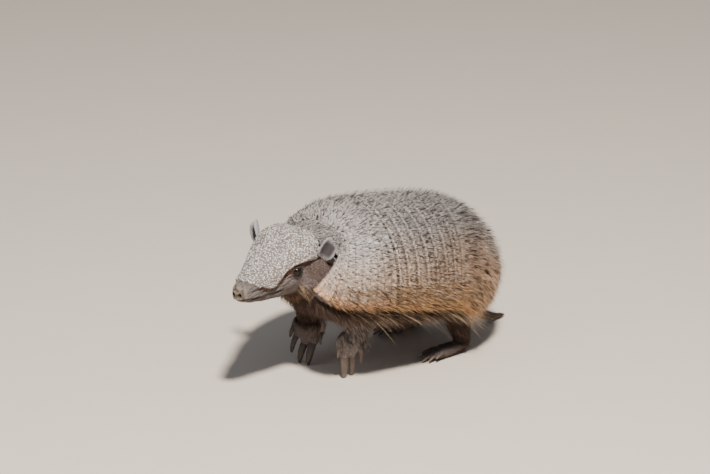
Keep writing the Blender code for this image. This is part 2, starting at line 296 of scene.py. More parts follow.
def limb_place(rows, flat=1.0, side=(1, 0, 0), blunt=6, slimmer=0.0):
    """A function of share of length and angle that gives the skin of a bent round limb."""
    def place(part, angle):
        at = part * (len(rows) - 1)
        here = along(rows, at)
        ahead = Vector(along(rows, at + 0.05)[:3]) - Vector(along(rows, at - 0.05)[:3])
        ahead.normalize()
        wide = (Vector(side) - ahead * ahead.dot(Vector(side))).normalized()
        thick = ahead.cross(wide)
        rounding = math.sqrt(max(1 - abs(2 * part - 1) ** blunt, 0))
        radius = max(here[3] - slimmer, 0.4) * rounding
        wide *= radius * math.cos(angle)
        thick *= radius * flat * math.sin(angle)
        return Vector(here[:3]) + wide + thick
    return place


def mirrored(rows):
    """The same limb on the right side, set back by the stride."""
    return tuple((-x, y + HIND_STRIDE, z, radius) for x, y, z, radius in rows)


def eye_centre(sign):
    """The middle of an eyeball, sunk into the side of the head."""
    half_width, _, _ = head_section(EYE_AHEAD)
    return in_head(sign * (half_width - EYE_SUNK), EYE_AHEAD, EYE_UP)


def eye_outwards(sign):
    """The way an eye looks."""
    return (HEAD_FRAME @ Vector((sign * 1.0, -0.5, 0.12))).normalized()


def ear_frame(sign):
    """Root, direction of the tip, way across and way it opens, of one ear."""
    root = in_head(sign * 35.5, 1, -2)
    tip_direction = (HEAD_TURN @ Vector((sign * 0.40, 0.28, 0.87))).normalized()
    opening = HEAD_FRAME @ Vector((sign * 0.34, -0.94, -0.10))
    opening = (opening - tip_direction * opening.dot(tip_direction)).normalized()
    across = tip_direction.cross(opening).normalized()
    return root, tip_direction, across, opening


LIMBS = {
    "foreleg_left": (FORELEG_LEFT, 1.0, (1, 0, 0)),
    "foreleg_right": (FORELEG_RIGHT, 1.0, (1, 0, 0)),
    "hindleg_left": (HINDLEG_LEFT, 1.0, (1, 0, 0)),
    "hindleg_right": (mirrored(HINDLEG_LEFT), 1.0, (1, 0, 0)),
    "forefoot_left": (FOREFOOT_LEFT, FOOT_FLAT, (-0.15, 0.98, 0)),
    "forefoot_right": (FOREFOOT_RIGHT, FOOT_FLAT, (-0.95, -0.30, 0)),
    "hindfoot_left": (HINDFOOT_LEFT, FOOT_FLAT, (1, 0.05, 0)),
    "hindfoot_right": (mirrored(HINDFOOT_LEFT), FOOT_FLAT, (-1, 0.05, 0)),
}

# Each foot: knuckle, broad direction, direction of the claws, bow of the claws, digits.
FEET = {
    "forefoot_left": ((28.5, 18, 28), (-0.15, 0.98, 0), (-0.10, 0.06, -1), (1.6, -0.6, 0), FORE_DIGITS),
    "forefoot_right": ((-29, 6, 25), (-0.95, -0.30, 0), (0.02, -0.28, -1), (0.4, -1.6, 0), FORE_DIGITS),
    "hindfoot_left": ((39.5, 103, 5.5), (1, 0.05, 0), (0.06, -1, -0.32), (0, 0, 1.0), HIND_DIGITS),
    "hindfoot_right": ((-39.5, 106, 5.5), (-1, 0.05, 0), (-0.06, -1, -0.32), (0, 0, 1.0), HIND_DIGITS),
}


# ---------------------------------------------------------------- shader maths

class Number:
    """A number in a shader. Arithmetic on it adds Math nodes."""

    def __init__(self, tree, socket):
        self.tree = tree
        self.socket = socket

    def math(self, operation, *others, clamp=False):
        node = self.tree.nodes.new("ShaderNodeMath")
        node.operation = operation
        node.use_clamp = clamp
        for slot, value in zip(node.inputs, (self, *others)):
            if isinstance(value, Number):
                self.tree.links.new(value.socket, slot)
            else:
                slot.default_value = value
        return Number(self.tree, node.outputs[0])

    def __add__(self, other):
        return self.math("ADD", other)

    def __sub__(self, other):
        return self.math("SUBTRACT", other)

    def __rsub__(self, other):
        return self.math("MULTIPLY", -1.0).math("ADD", other)

    def __mul__(self, other):
        return self.math("MULTIPLY", other)

    __radd__ = __add__
    __rmul__ = __mul__

    def clamped(self):
        return self.math("ADD", 0.0, clamp=True)


class Finish:
    """One material, and the few ways its nodes are added."""

    def __init__(self, name, roughness=0.7, coat=0.0, specular=0.5):
        self.material = bpy.data.materials.new(name)
        self.material.use_nodes = True
        self.tree = self.material.node_tree
        self.shader = self.tree.nodes["Principled BSDF"]
        self.feed(self.shader.inputs["Roughness"], roughness)
        self.feed(self.shader.inputs["Coat Weight"], coat)
        self.feed(self.shader.inputs["Specular IOR Level"], specular)

    def node(self, kind, settings=None, sockets=None):
        """Adds a node. Its settings are set first, then its sockets, by their names or numbers."""
        made = self.tree.nodes.new(kind)
        for key, value in (settings or {}).items():
            setattr(made, key, value)
        for key, value in (sockets or {}).items():
            self.feed(made.inputs[key], value)
        return made

    def number(self, output, kind, settings=None, sockets=None):
        """The named output of a new node, ready for arithmetic."""
        return Number(self.tree, self.node(kind, settings, sockets).outputs[output])

    def feed(self, slot, value):
        """Links a value to a socket, or sets it there."""
        if isinstance(value, Number):
            value = value.socket
        if isinstance(value, bpy.types.NodeSocket):
            self.tree.links.new(value, slot)
        elif isinstance(value, tuple) and slot.type == "RGBA":
            slot.default_value = (*value, 1.0)
        else:
            slot.default_value = value

    def mark(self, name):
        """A number that the mesh carries at each point."""
        return self.number("Fac", "ShaderNodeAttribute", {"attribute_name": name})

    def object_place(self):
        return self.node("ShaderNodeTexCoord").outputs["Object"]

    def stretched(self, scale, rotation=(0, 0, 0), location=(0, 0, 0)):
        """Object coordinates turned and stretched, for a pattern with a grain."""
        return self.node("ShaderNodeMapping", {"vector_type": "TEXTURE"}, {
            "Vector": self.object_place(),
            "Location": location,
            "Rotation": rotation,
            "Scale": scale,
        }).outputs["Vector"]

    def noise(self, scale, detail=3.0, roughness=0.5, vector=None, distortion=0.0):
        return self.number("Fac", "ShaderNodeTexNoise", None, {
            "Vector": vector or self.object_place(),
            "Scale": scale,
            "Detail": detail,
            "Roughness": roughness,
            "Distortion": distortion,
        })

    def cells(self, scale, feature="F1"):
        sockets = {"Vector": self.object_place(), "Scale": scale}
        return self.number("Distance", "ShaderNodeTexVoronoi", {"feature": feature}, sockets)

    def ramp(self, value, low, high):
        """0 at low, 1 at high, eased and held beyond them."""
        sockets = {"Value": value, "From Min": low, "From Max": high}
        return self.number("Result", "ShaderNodeMapRange", {"interpolation_type": "SMOOTHSTEP"}, sockets)

    def mix(self, first, second, factor):
        """A blend of two colours. A Mix node's colours go in at sockets 6 and 7 and leave at 2."""
        sockets = {0: factor, 6: first, 7: second}
        return self.node("ShaderNodeMix", {"data_type": "RGBA"}, sockets).outputs[2]

    def shade(self, colour, factor):
        """A colour made darker or lighter by a number."""
        sockets = {0: colour, "Scale": factor}
        return self.node("ShaderNodeVectorMath", {"operation": "SCALE"}, sockets).outputs[0]

    def colour(self, value):
        self.feed(self.shader.inputs["Base Color"], value)

    def rough(self, value):
        self.feed(self.shader.inputs["Roughness"], value)

    def bump(self, height, distance):
        """Relief in metres that only bends the light."""
        made = self.node("ShaderNodeBump", None, {"Height": height, "Distance": distance})
        self.feed(self.shader.inputs["Normal"], made.outputs["Normal"])


def settings():
    return bpy.context.scene.armadillo_sizes


def tints():
    return bpy.context.scene.armadillo_colours


def tint(name):
    return tuple(getattr(tints(), name))


def shell_tint(finish):
    """Colour of the shell by place: grey on the back, tan on the flanks, orange along the rim."""
    flank = finish.mark("flank")
    rear = finish.mark("rear")
    patch = finish.noise(38, 4, 0.6)
    back = finish.mix(tint("shoulder"), tint("back"), finish.ramp(rear + (patch - 0.5) * 0.3, 0.25, 0.75))
    side = finish.ramp(flank + (patch - 0.5) * 0.25 + rear * 0.38, 0.55, 1.0)
    colour = finish.mix(back, tint("flank"), side)
    rim = finish.ramp(flank + (patch - 0.5) * 0.10 + rear * 0.03, 0.935, 0.985)
    return finish.mix(colour, tint("rim"), rim)


def plate_finish():
    """Dry horn: pale worn crowns, dark dirty grooves, fine pits."""
    finish = Finish("shell_horn", roughness=0.62, specular=0.35)
    colour = shell_tint(finish)
    relief = finish.mark("relief")
    chance = finish.mark("chance")
    grain = finish.noise(900, 4, 0.65)
    speck = finish.noise(260, 3, 0.6)
    worn = finish.ramp(relief + (speck - 0.5) * 0.9, 0.45, 1.1)
    covered = finish.ramp(finish.mark("rear"), 0.30, 0.60)
    colour = finish.shade(colour, chance * 0.30 + 0.72 - covered * 0.26)
    colour = finish.mix(colour, tint("worn_horn"), worn * (0.25 - covered * 0.17))
    groove = finish.ramp(relief + (speck - 0.5) * 0.25, -0.3, 0.42)
    colour = finish.mix(tint("groove"), colour, groove)
    dust = finish.ramp(grain, 0.56, 0.68) * groove * (0.55 - covered * 0.35)
    colour = finish.mix(colour, tint("worn_horn"), dust)
    finish.colour(finish.shade(colour, (grain - 0.5) * 3.2 + 0.95))
    finish.rough(0.72 - worn * 0.22)
    pits = finish.ramp(finish.cells(620), 0.05, 0.5)
    finish.bump(pits * 0.3 + grain * 0.9, 0.0007)
    return finish.material


def head_plate_finish():
    """The head shield is paler and smoother than the back, with a dusty bloom."""
    finish = Finish("head_horn", roughness=0.6, specular=0.35)
    relief = finish.mark("relief")
    chance = finish.mark("chance")
    patch = finish.noise(60, 4, 0.6)
    speck = finish.noise(420, 4, 0.8)
    granule = finish.ramp(finish.cells(620) + (speck - 0.5) * 0.9, 0.66, 0.42)
    colour = finish.mix(tint("head_plate"), tint("shoulder"), finish.ramp(patch, 0.35, 0.75))
    colour = finish.shade(colour, chance * 0.2 + 0.82)
    groove = finish.ramp(relief + (speck - 0.5) * 0.9, -0.35, 0.5)
    colour = finish.mix(finish.shade(tint("groove"), 1.6), colour, groove)
    colour = finish.mix(finish.shade(tint("groove"), 1.9), colour, granule * 0.8 + 0.2)
    dark = finish.ramp(speck, 0.44, 0.38)
    colour = finish.mix(colour, finish.shade(tint("groove"), 1.9), dark * 0.6)
    bright = finish.ramp(speck, 0.46, 0.54)
    colour = finish.mix(colour, tint("worn_horn"), bright * granule)
    # The rim gets the lids' dark rust: partly rust skin and partly painted shade under the overhang.
    edge = finish.mark("edge")
    colour = finish.mix(colour, tint("lid"), edge * 0.7)
    finish.colour(colour)
    finish.rough(0.68 - bright * 0.2)
    finish.bump(speck * 0.6 + granule * 0.6, 0.0012)
    return finish.material


def skin_finish():
    """Leathery hide: wrinkled snout, scaly cheeks and paws, darker legs, orange folds, and painted shade in
    creases, openings and hollows.
    """
    finish = Finish("hide", roughness=0.62, specular=0.35)
    snout, head, ear, leg, paw, tail, fold, lid, nose = (finish.mark(name) for name in SKIN_MARKS)
    patch = finish.noise(55, 4, 0.6)
    speck = finish.noise(420, 4, 0.65)
    head_grain = finish.stretched(
        (0.5, 2.2, 0.5),
        rotation=HEAD_FRAME.to_euler(),
        location=world(HEAD_PIVOT),
    )
    creases = finish.noise(420, 3, 0.55, vector=head_grain, distortion=0.6)
    scale_cells = finish.ramp(finish.cells(560, "DISTANCE_TO_EDGE"), 0.0, 0.2)
    colour = tint("belly")
    parts = (("leg", leg), ("cheek", head), ("snout", snout), ("paw", paw), ("tail", tail), ("ear", ear))
    for name, place in parts:
        colour = finish.mix(colour, tint(name), place)
    mud = finish.ramp(finish.noise(240, 3, 0.6) + nose * 0.1, 0.52, 0.66)
    colour = finish.mix(colour, finish.mix(tint("nose"), tint("mud"), mud), nose)
    colour = finish.shade(colour, (patch - 0.5) * 0.7 + (speck - 0.5) * 0.6 + 1.0)
    scaly = ((head * (1 - snout) + paw * 0.8 + tail * 0.8 + leg * 0.3) * (1 - ear)).clamped()
    colour = finish.mix(colour, finish.shade(colour, 0.5), (1 - scale_cells) * scaly)
    wrinkled = (snout * (1 - nose)).clamped()
    # Painted shade in the valleys of the snout's creases.
    crease_shade = finish.ramp(creases, 0.52, 0.36) * wrinkled
    colour = finish.mix(colour, finish.shade(colour, 0.5), crease_shade)
    # The lids' rust, which is painted shade in places, then the painted shade of creases, openings and
    # hollows.
    colour = finish.mix(colour, tint("lid"), lid)
    colour = finish.mix(colour, tint("fold"), fold)
    finish.colour(colour)
    finish.rough(0.7 - nose * 0.25)
    height = speck * (nose * 0.8 + 0.35) + scale_cells * scaly * 0.8 + creases * wrinkled * 2.4
    finish.bump(height, 0.0011)
    return finish.material


def claw_finish():
    """Horn with a grain from root to tip, darker and dirty at the root, worn pale at the edge."""
    finish = Finish("claw_horn", roughness=0.45, specular=0.45)
    reach = finish.mark("reach")
    grain = finish.noise(500, 4, 0.6, vector=finish.stretched((0.6, 0.6, 3.0)))
    colour = finish.mix(tint("claw_root"), tint("claw"), finish.ramp(reach, 0.1, 0.55))
    worn = finish.ramp(reach + (grain - 0.5) * 0.3, 0.8, 1.1)
    colour = finish.mix(colour, tint("worn_horn"), worn * 0.2)
    finish.colour(finish.shade(colour, (grain - 0.5) * 1.1 + 0.95))
    finish.rough(grain * 0.3 + 0.32)
    finish.bump(grain, 0.0003)
    return finish.material


def eye_finish():
    finish = Finish("eye_wet", roughness=0.12, coat=0.15, specular=0.22)
    ring = finish.mark("ring")
    flecks = finish.noise(900, 3, 0.6)
    iris = finish.mix(tint("iris"), (0.006, 0.004, 0.003), finish.ramp(flecks, 0.3, 0.7))
    finish.colour(finish.mix((0.004, 0.003, 0.003), iris, ring))
    return finish.material


def bristle_finish(name, root, tips, dark, dark_share, by_place=0.0):
    """Coarse hair: dark at the root and pale at the tip, with some hairs dark all along."""
    finish = Finish(name, roughness=0.5, specular=0.3)
    reach = finish.mark("reach")
    chance = finish.mark("chance")
    tip = finish.mix(tips, finish.shade(tips, 0.32), finish.ramp(chance, 0.45, 1.0))
    darkness = dark_share - chance
    if by_place:
        tip = finish.mix(tip, finish.shade(shell_tint(finish), 1.95), by_place)
        rear = finish.mark("rear")
        flank = finish.mark("flank")
        low = finish.ramp(flank + rear * 0.2, 0.78, 1.05) * finish.ramp(rear, 0.2, 0.4)
        broken = finish.ramp(finish.noise(110, 3, 0.6), 0.42, 0.6) * 0.8 + 0.2
        golden = (finish.ramp(rear, 0.72, 1.0) * 0.3 + low * 0.45) * broken
        tip = finish.mix(tip, tint("gold_hair"), golden.clamped())
        front = finish.ramp(rear, 0.42, 0.32)
        ridge = finish.ramp(flank, 0.55, 0.2) * (0.14 + front * 0.14)
        rump = finish.ramp(rear, 0.60, 0.80)
        tip = finish.shade(tip, 1.0 - ridge + rump * 0.35)
        darkness = darkness + front * 0.10 + rump * 0.12
    colour = finish.mix(root, tip, finish.ramp(reach, 0.0, 0.42))
    colour = finish.mix(colour, dark, finish.ramp(darkness, -0.02, 0.02))
    finish.colour(colour)
    return finish.material


# ---------------------------------------------------------------- meshes

class Marks(dict):
    """Numbers for every point of a mesh, gathered by name in the order the points are laid."""

    def note(self, **values):
        for name, value in values.items():
            self.setdefault(name, []).append(value)


def mesh_of(name, bm):
    """Turns a BMesh into a mesh, and lets go of it."""
    mesh = bpy.data.meshes.new(name)
    bm.to_mesh(mesh)
    bm.free()
    return mesh


def added(name, data):
    """A new object in the scene."""
    made = bpy.data.objects.new(name, data)
    bpy.context.scene.collection.objects.link(made)
    return made


def keep(name, bm, material, replaced, marks):
    """Turns a mesh given in millimetres into a finished piece on the frame."""
    for vert in bm.verts:
        vert.co = world(vert.co)
    bmesh.ops.recalc_face_normals(bm, faces=bm.faces)
    if bm.calc_volume(signed=True) < 0:
        bmesh.ops.reverse_faces(bm, faces=bm.faces)
    adopt(name, mesh_of(name, bm), material, replaced, marks)


def adopt(name, mesh, material, replaced, marks):
    """Makes a mesh in metres a piece: its marks, material, body and the nodes it stands for."""
    mesh.shade_smooth()
    for key, values in marks.items():
        layer = mesh.attributes.new(key, "FLOAT", "POINT")
        layer.data.foreach_set("value", np.asarray(values, dtype=np.float32))
    mesh.materials.append(material)
    piece = added(name, mesh)
    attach(piece, "root")
    if replaced:
        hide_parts(*replaced)


def grid_slab(bm, segments, place):
    """A closed curved plate from a grid given thickness; place(u, v, 0 outside or 1 inside) lays it."""
    made = bmesh.ops.create_grid(bm, x_segments=segments[0], y_segments=segments[1], size=0.5)
    low = made["verts"]
    faces = list(dict.fromkeys(face for vert in low for face in vert.link_faces))
    grown = bmesh.ops.extrude_face_region(bm, geom=faces)["geom"]
    high = [item for item in grown if isinstance(item, bmesh.types.BMVert)]
    for depth, verts in ((0, low), (1, high)):
        for vert in verts:
            vert.co = place(vert.co.x + 0.5, vert.co.y + 0.5, depth)
    return low + high


def ball(bm, rings, sides, place):
    """A closed round body: a sphere whose every point is moved by place(share of length, angle)."""
    made = bmesh.ops.create_uvsphere(bm, u_segments=sides, v_segments=rings, radius=1)["verts"]
    for vert in made:
        polar = math.acos(min(max(vert.co.z, -1), 1))
        vert.co = place(polar / math.pi, math.atan2(vert.co.y, vert.co.x))
    return made


def smooth_verts(bm, verts):
    """Evens out some points of a mesh by half a step."""
    bmesh.ops.smooth_vert(bm, verts=verts, factor=0.5, use_axis_x=True, use_axis_y=True, use_axis_z=True)


def hashed(*numbers):
    """A steady number from 0 to 1 for a place in a grid."""
    value = math.sin(sum(n * k for n, k in zip(numbers, (12.9898, 78.233, 37.719)))) * 43758.5453
    return value - math.floor(value)


def rounded(edge, radius):
    """How far a surface drops at a distance from its edge, for an edge rounded to a radius."""
    return radius * max(1 - edge / radius, 0) ** 2


# ---------------------------------------------------------------- shell plates

SCUTE_COLUMNS = 46            # scutes in one row, from rim to rim
SHOULDER_ROWS = 11
PELVIS_ROWS = 13
STEPS = 6                     # mesh steps across one scute
SECTION_LENGTH = 34           # usual distance between two sections along the shell
ARCH_LENGTH = 250             # length of an arch from rim to rim
SCUTE_RELIEF = 0.9            # height of a scute above the groove beside it
EDGE_ROUNDING = 1.6
BAND_LIFT = 1.3               # how far a band's rear edge stands over the front of the next


def pillow(part):
    """0 at the borders of a cell and 1 across most of it."""
    return 1 - abs(2 * part - 1) ** 7


def scute(row_place, column_place):
    """Relief from 0 to 1 of a bent brick grid, and a steady chance number for its cell."""
    wander = 0.22
    bend = noise.noise(Vector((row_place * 0.9, column_place * 0.9, 3.1)))
    turned = noise.noise(Vector((row_place * 0.8, column_place * 0.8, 9.7)))
    row_place += bend * wander
    row = math.floor(row_place)
    column_place += turned * wander + (0.5 if row % 2 else 0.0)
    column = math.floor(column_place)
    relief = pillow(row_place - row) * pillow(column_place - column)
    return relief, hashed(row, column)


def plate(name, segments, lay, finish, node, marks):
    """A plate laid as a grid with a thickness, in place of one node."""
    bm = bmesh.new()
    grid_slab(bm, segments, lay)
    keep("plate_" + name, bm, finish, (node,), marks)


def shell_plate(name, start, end, rows, finish, lifted):
    """One plate of the carapace with its scutes, from a section to the next."""
    sizes = settings()
    segments = (rows * STEPS * (2 if lifted else 1), SCUTE_COLUMNS * STEPS)
    marks = Marks()
    gap = 0.006
    shoulder = start == 0

    def lay(u, v, inner):
        section = start + gap + (end - start - 2 * gap) * u
        turn = -1 + 2 * v
        relief, chance = scute(u * rows, v * SCUTE_COLUMNS)
        depth = sizes.coat_depth
        if lifted:
            relief = max(relief, 0.6 * smooth(0.05, 0.2, u)) * smooth(1.0, 0.92, u)
            relief -= 0.9 * (smooth(0.90, 0.97, u) + smooth(0.27, 0.16, u))
            depth += BAND_LIFT * (1 - u)
        if shoulder:
            relief -= 1.1 * smooth(SHOULDER_END - 0.09, SHOULDER_END - 0.02, section)
        edge_along = min(u, 1 - u) * (end - start) * SECTION_LENGTH
        edge_across = min(v, 1 - v) * ARCH_LENGTH
        rounding = rounded(min(edge_along, edge_across), EDGE_ROUNDING)
        if inner:
            depth = PLATE_THICKNESS + 0.6 - rounding * 0.4
        else:
            depth += rounding - SCUTE_RELIEF * max(relief, 0) * sizes.relief
            depth += 0.3 * noise.fractal(Vector((section * 9, turn * 18, 5.5)), 0.7, 2.0, 3)
            depth += 0.22 * noise.noise(Vector((section * 26, turn * 62, 1.5)))
        scallop = 1 - 0.006 * (1 - pillow((u * rows) % 1.0))
        relief = 0.0 if inner else relief
        marks.note(relief=relief, chance=chance, flank=abs(turn), rear=section / REAR_EDGE)
        return carapace(section, turn * scallop, depth)

    plate(name, segments, lay, finish, name, marks)


def lay_head_shield(part, turn, proud):
    """The head shield narrows from the ears to a blunt tip above the muzzle."""
    ahead = HEAD_SHIELD_REAR + (HEAD_SHIELD_FRONT - HEAD_SHIELD_REAR) * part
    reach = math.radians(along(HEAD_SHIELD_REACH, part * (len(HEAD_SHIELD_REACH) - 1))[0])
    ahead += (1 - part) * (shield_rear(math.degrees(turn * reach)) - HEAD_SHIELD_REAR)
    ahead -= 5 * part ** 3 * turn ** 2
    return head_skin(ahead, turn * reach, proud)


def cell_relief(point, size):
    """Relief and chance of a field of rounded polygons, from the distance to their borders."""
    distances, places = noise.voronoi(Vector(point) / size)
    border = distances[1] - distances[0]
    return min(border * 3.2, 1.0), hashed(*places[0])


def head_shield(finish):
    """The granular shield of the head, with a raised lip along its edge."""
    marks = Marks()
    sizes = settings()

    def lay(u, v, inner):
        turn = -1 + 2 * v
        place = lay_head_shield(u, turn, 0)
        relief, chance = cell_relief(place, 5.4 - 2.0 * u)
        edge = min(min(u, 1 - u) * 88, min(v, 1 - v) * 90)
        if inner:
            proud = -2.4 + 1.6 * smooth(5, 1, edge)
        else:
            lip = 0.8 * bell(edge, 2.6, 1.6) * (1 if u < 0.9 else 0.4)
            proud = 0.5 + lip - rounded(edge, 1.5) + 0.75 * math.sqrt(relief) * sizes.relief
            proud += 0.4 * noise.fractal(place / 8, 0.7, 2.0, 3) + 0.35 * noise.noise(place / 1.6)
        # Along its rim the shield takes the lids' dark rust: partly rust skin and partly painted shade
        # under the overhang.
        rim_shade = smooth(3.4, 0.6, edge) * smooth(0.1, 0.3, u) * smooth(0.95, 0.7, u)
        marks.note(relief=0.0 if inner else relief, chance=chance, edge=rim_shade)
        return lay_head_shield(u, turn, proud)

    plate("head", (120, 140), lay, finish, "head_shield", marks)


def nuchal_place(u, turn, depth):
    """A point of the plate between the shoulder shield, at u = 0, and the head shield, at u = 1."""
    rear = carapace(0, turn * NUCHAL_REACH, 1 + depth)
    angle = turn * NUCHAL_ANGLE
    front = head_skin(shield_rear(angle) - 1.2, math.radians(angle), 0.5 - depth)
    return rear.lerp(front, -0.04 + 1.04 * u)


def nuchal_plate(finish):
    """The narrow plate that covers the neck, with three rows of scutes."""
    marks = Marks()

    def lay(u, v, inner):
        turn = -1 + 2 * v
        relief, chance = scute(u * 3, v * 17)
        edge = min(min(u, 1 - u) * 20, min(v, 1 - v) * 90)
        depth = 3.4 if inner else 0.9 + rounded(edge, 1.2) - 0.7 * relief
        marks.note(relief=0.0 if inner else relief, chance=chance, flank=abs(turn) * 0.5, rear=0.0)
        return nuchal_place(u, turn, depth)

    plate("nuchal", (20, 110), lay, finish, "nuchal_band", marks)


# ---------------------------------------------------------------- skin

SKIN_MARKS = ("snout", "head", "ear", "leg", "paw", "tail", "fold", "lid", "nose")
HEAD_COAT = 0.4               # depth of the coat over the skin, by part
LEG_COAT = 1.2
FOOT_COAT = 0.5
LID_OPENING = (4.9, 2.9)      # half length and half height of the opening between the lids
LID_TILT = 12
MOUTH = ((46, -16.5), (60, -13.0), (74, -9.0), (88, -4.6))
NOSTRIL = (3.2, 0.6)          # across and up
COLLAR = ((0, -42, 108, 28), (0, -30, 108, 37), (0, -17, 107, 45), (0, 2, 100, 52))
HIDDEN_LEVEL = 92             # height above which the shell hides the flesh
HIDDEN_FRONT = -12            # y of the front of what it hides
HIDDEN_SLOPE = 0.22
TOES_TOP = 30                 # height under which smoothing would shrink the toes


def flesh():
    """All the parts of the flesh as overlapping closed bodies in one mesh, in millimetres."""
    bm = bmesh.new()

    def lay_trunk(u, v, inner):
        section = 0.3 + (REAR_EDGE - 0.5) * u
        turn = -0.985 + 1.97 * v
        if inner:
            return underside(section, turn) + Vector((0, 0, 1.0))
        return carapace(section, turn, PLATE_THICKNESS + FLESH_CLEARANCE)

    grid_slab(bm, (60, 60), lay_trunk)
    length = HEAD[-1][0] - HEAD[0][0]

    def lay_head(part, angle):
        rounding = math.sqrt(max(1 - abs(2 * part - 1) ** 14, 0))
        ahead = HEAD[0][0] + part * length
        return in_head(0, ahead, -2).lerp(head_skin(ahead, angle, -HEAD_COAT), rounding)

    ball(bm, 90, 64, lay_head)
    rows = [(0, y, z, radius) for y, z, radius in NECK]
    ball(bm, 24, 40, limb_place(rows, 0.76, slimmer=1.0))
    ball(bm, 24, 40, limb_place(COLLAR, 0.74, blunt=10))
    for name, (rows, flat, side) in LIMBS.items():
        coat = LEG_COAT if "leg" in name else FOOT_COAT + (1.6 if "fore" in name else 0.4)
        ball(bm, 32, 28, limb_place(rows, flat, side, slimmer=coat))
    ball(bm, 48, 24, limb_place(TAIL, blunt=12, slimmer=0.4))
    for knuckle, broad, pointing, _, digits in FEET.values():
        toe_bodies(bm, knuckle, broad, pointing, digits)
    for _, sign in SIDES:
        ear_body(bm, sign)
    return bm


def toe_bodies(bm, knuckle, broad, pointing, digits):
    """A short fleshy toe under the root of each claw."""
    broad = Vector(broad).normalized()
    pointing = Vector(pointing).normalized()
    for offset, lift, length, width, splay in digits:
        root = Vector(knuckle) + broad * offset - pointing * lift
        reach = (pointing + broad * splay).normalized() * min(length * 0.34, 7)
        rows = [
            (*(root - reach * 2.4 - broad * offset * 0.3), width * 0.55),
            (*(root - reach * 1.2), width * 0.62),
            (*root, width * 0.66),
            (*(root + reach * 0.6), width * 0.60),
            (*(root + reach), width * 0.48),
        ]
        ball(bm, 12, 14, limb_place(rows, 0.85, broad, blunt=6))


def ear_radius(part):
    """Radius of the ear's curl at a share of its length: a round spoon on a narrower root."""
    swell = max(1 - abs(2 * part - 1) ** 3, 0.0) ** 0.5
    return EAR_WIDTH * 0.5 * max(swell, 0.62 * smooth(0.5, 0.15, part), 0.12)


def ear_body(bm, sign):
    """A cupped leaf that opens forwards and outwards, on a narrow root."""
    root, tip_direction, across, opening = ear_frame(sign)

    def leaf(u, v, inner):
        turn = -1 + 2 * v
        curl = turn * math.radians(80)
        radius = ear_radius(u)
        wall = max(radius - 2.1 * inner, 0.2)
        out = opening * (radius - wall * math.cos(curl) - 1.6 * inner * smooth(0.8, 1.0, u))
        sideways = across * (wall * math.sin(curl))
        return root + tip_direction * (-3 + (EAR_LENGTH + 3) * u) + sideways + out

    grid_slab(bm, (24, 24), leaf)


def remeshed(bm, voxel):
    """One closed skin around overlapping bodies, as a mesh in millimetres."""
    for vert in bm.verts:
        vert.co = world(vert.co)
    bmesh.ops.recalc_face_normals(bm, faces=bm.faces)
    mesh = mesh_of("flesh", bm)
    body = added("flesh", mesh)
    union = body.modifiers.new("one skin", "REMESH")
    union.mode = "VOXEL"
    union.voxel_size = voxel * MM
    graph = bpy.context.evaluated_depsgraph_get()
    result = bmesh.new()
    result.from_object(body, graph)
    bpy.data.objects.remove(body)
    bpy.data.meshes.remove(mesh)
    for vert in result.verts:
        vert.co = vert.co / MM + Vector((0, MIDDLE, 0))
    return result


def near_head(point):
    """Whether a place is in the box round the head and its ears."""
    across, ahead, up = head_place(point)
    return ahead > -16 and abs(across) < 60 and abs(up + 6) < 48


def cut_hidden_back(bm):
    """Takes away the flesh far under the shell, and closes it there with one flat face."""
    level = Vector((0, 0, HIDDEN_LEVEL))
    upwards = Vector((0, HIDDEN_SLOPE, 1)).normalized()
    hidden = [face for face in bm.faces if face.calc_center_median().y > HIDDEN_FRONT]
    geometry = dict.fromkeys(item for face in hidden for item in (*face.verts, *face.edges))
    geometry = [*geometry, *hidden]
    bmesh.ops.bisect_plane(bm, geom=geometry, plane_co=level, plane_no=upwards)
    gone = []
    for face in bm.faces:
        centre = face.calc_center_median()
        if upwards.dot(centre - level) > 0 and centre.y > HIDDEN_FRONT:
            gone.append(face)
    bmesh.ops.delete(bm, geom=gone, context="FACES")
    rim = [edge for edge in bm.edges if edge.is_boundary]
    bmesh.ops.holes_fill(bm, edges=rim, sides=0)
    bmesh.ops.triangulate(bm, faces=[face for face in bm.faces if len(face.verts) > 4])


def refine(bm, wanted):
    """Halves the mesh where wanted(place) holds."""
    edges = [edge for edge in bm.edges if wanted(edge.verts[0].co) and wanted(edge.verts[1].co)]
    bmesh.ops.subdivide_edges(bm, edges=edges, cuts=1, use_grid_fill=True, smooth=0.0)
    smooth_verts(bm, [vert for vert in bm.verts if wanted(vert.co)])


def lid_ellipse(point, sign):
    """Elliptical distance from the middle of the lids' opening, 1 at the lids' edges."""
    centre = eye_centre(sign)
    outwards = eye_outwards(sign)
    forwards = (HEAD_FORWARDS - outwards * HEAD_FORWARDS.dot(outwards)).normalized()
    upwards = outwards.cross(forwards) * sign
    tilt = math.radians(LID_TILT)
    slant = forwards * math.cos(tilt) - upwards * math.sin(tilt)
    upwards, forwards = upwards * math.cos(tilt) + forwards * math.sin(tilt), slant
    offset = Vector(point) - centre
    if offset.dot(outwards) < -1.5:
        return FAR, 0.0, 0.0
    x = offset.dot(forwards) / LID_OPENING[0]
    y = offset.dot(upwards) / LID_OPENING[1]
    return math.hypot(x, y), x, y


def lid_distance(point):
    """Elliptical distance from the nearer eye's opening."""
    return min(lid_ellipse(point, 1)[0], lid_ellipse(point, -1)[0])


def deepen(marks, **values):
    """Raises marks to values that are higher."""
    for name, value in values.items():
        marks[name] = max(marks[name], value)


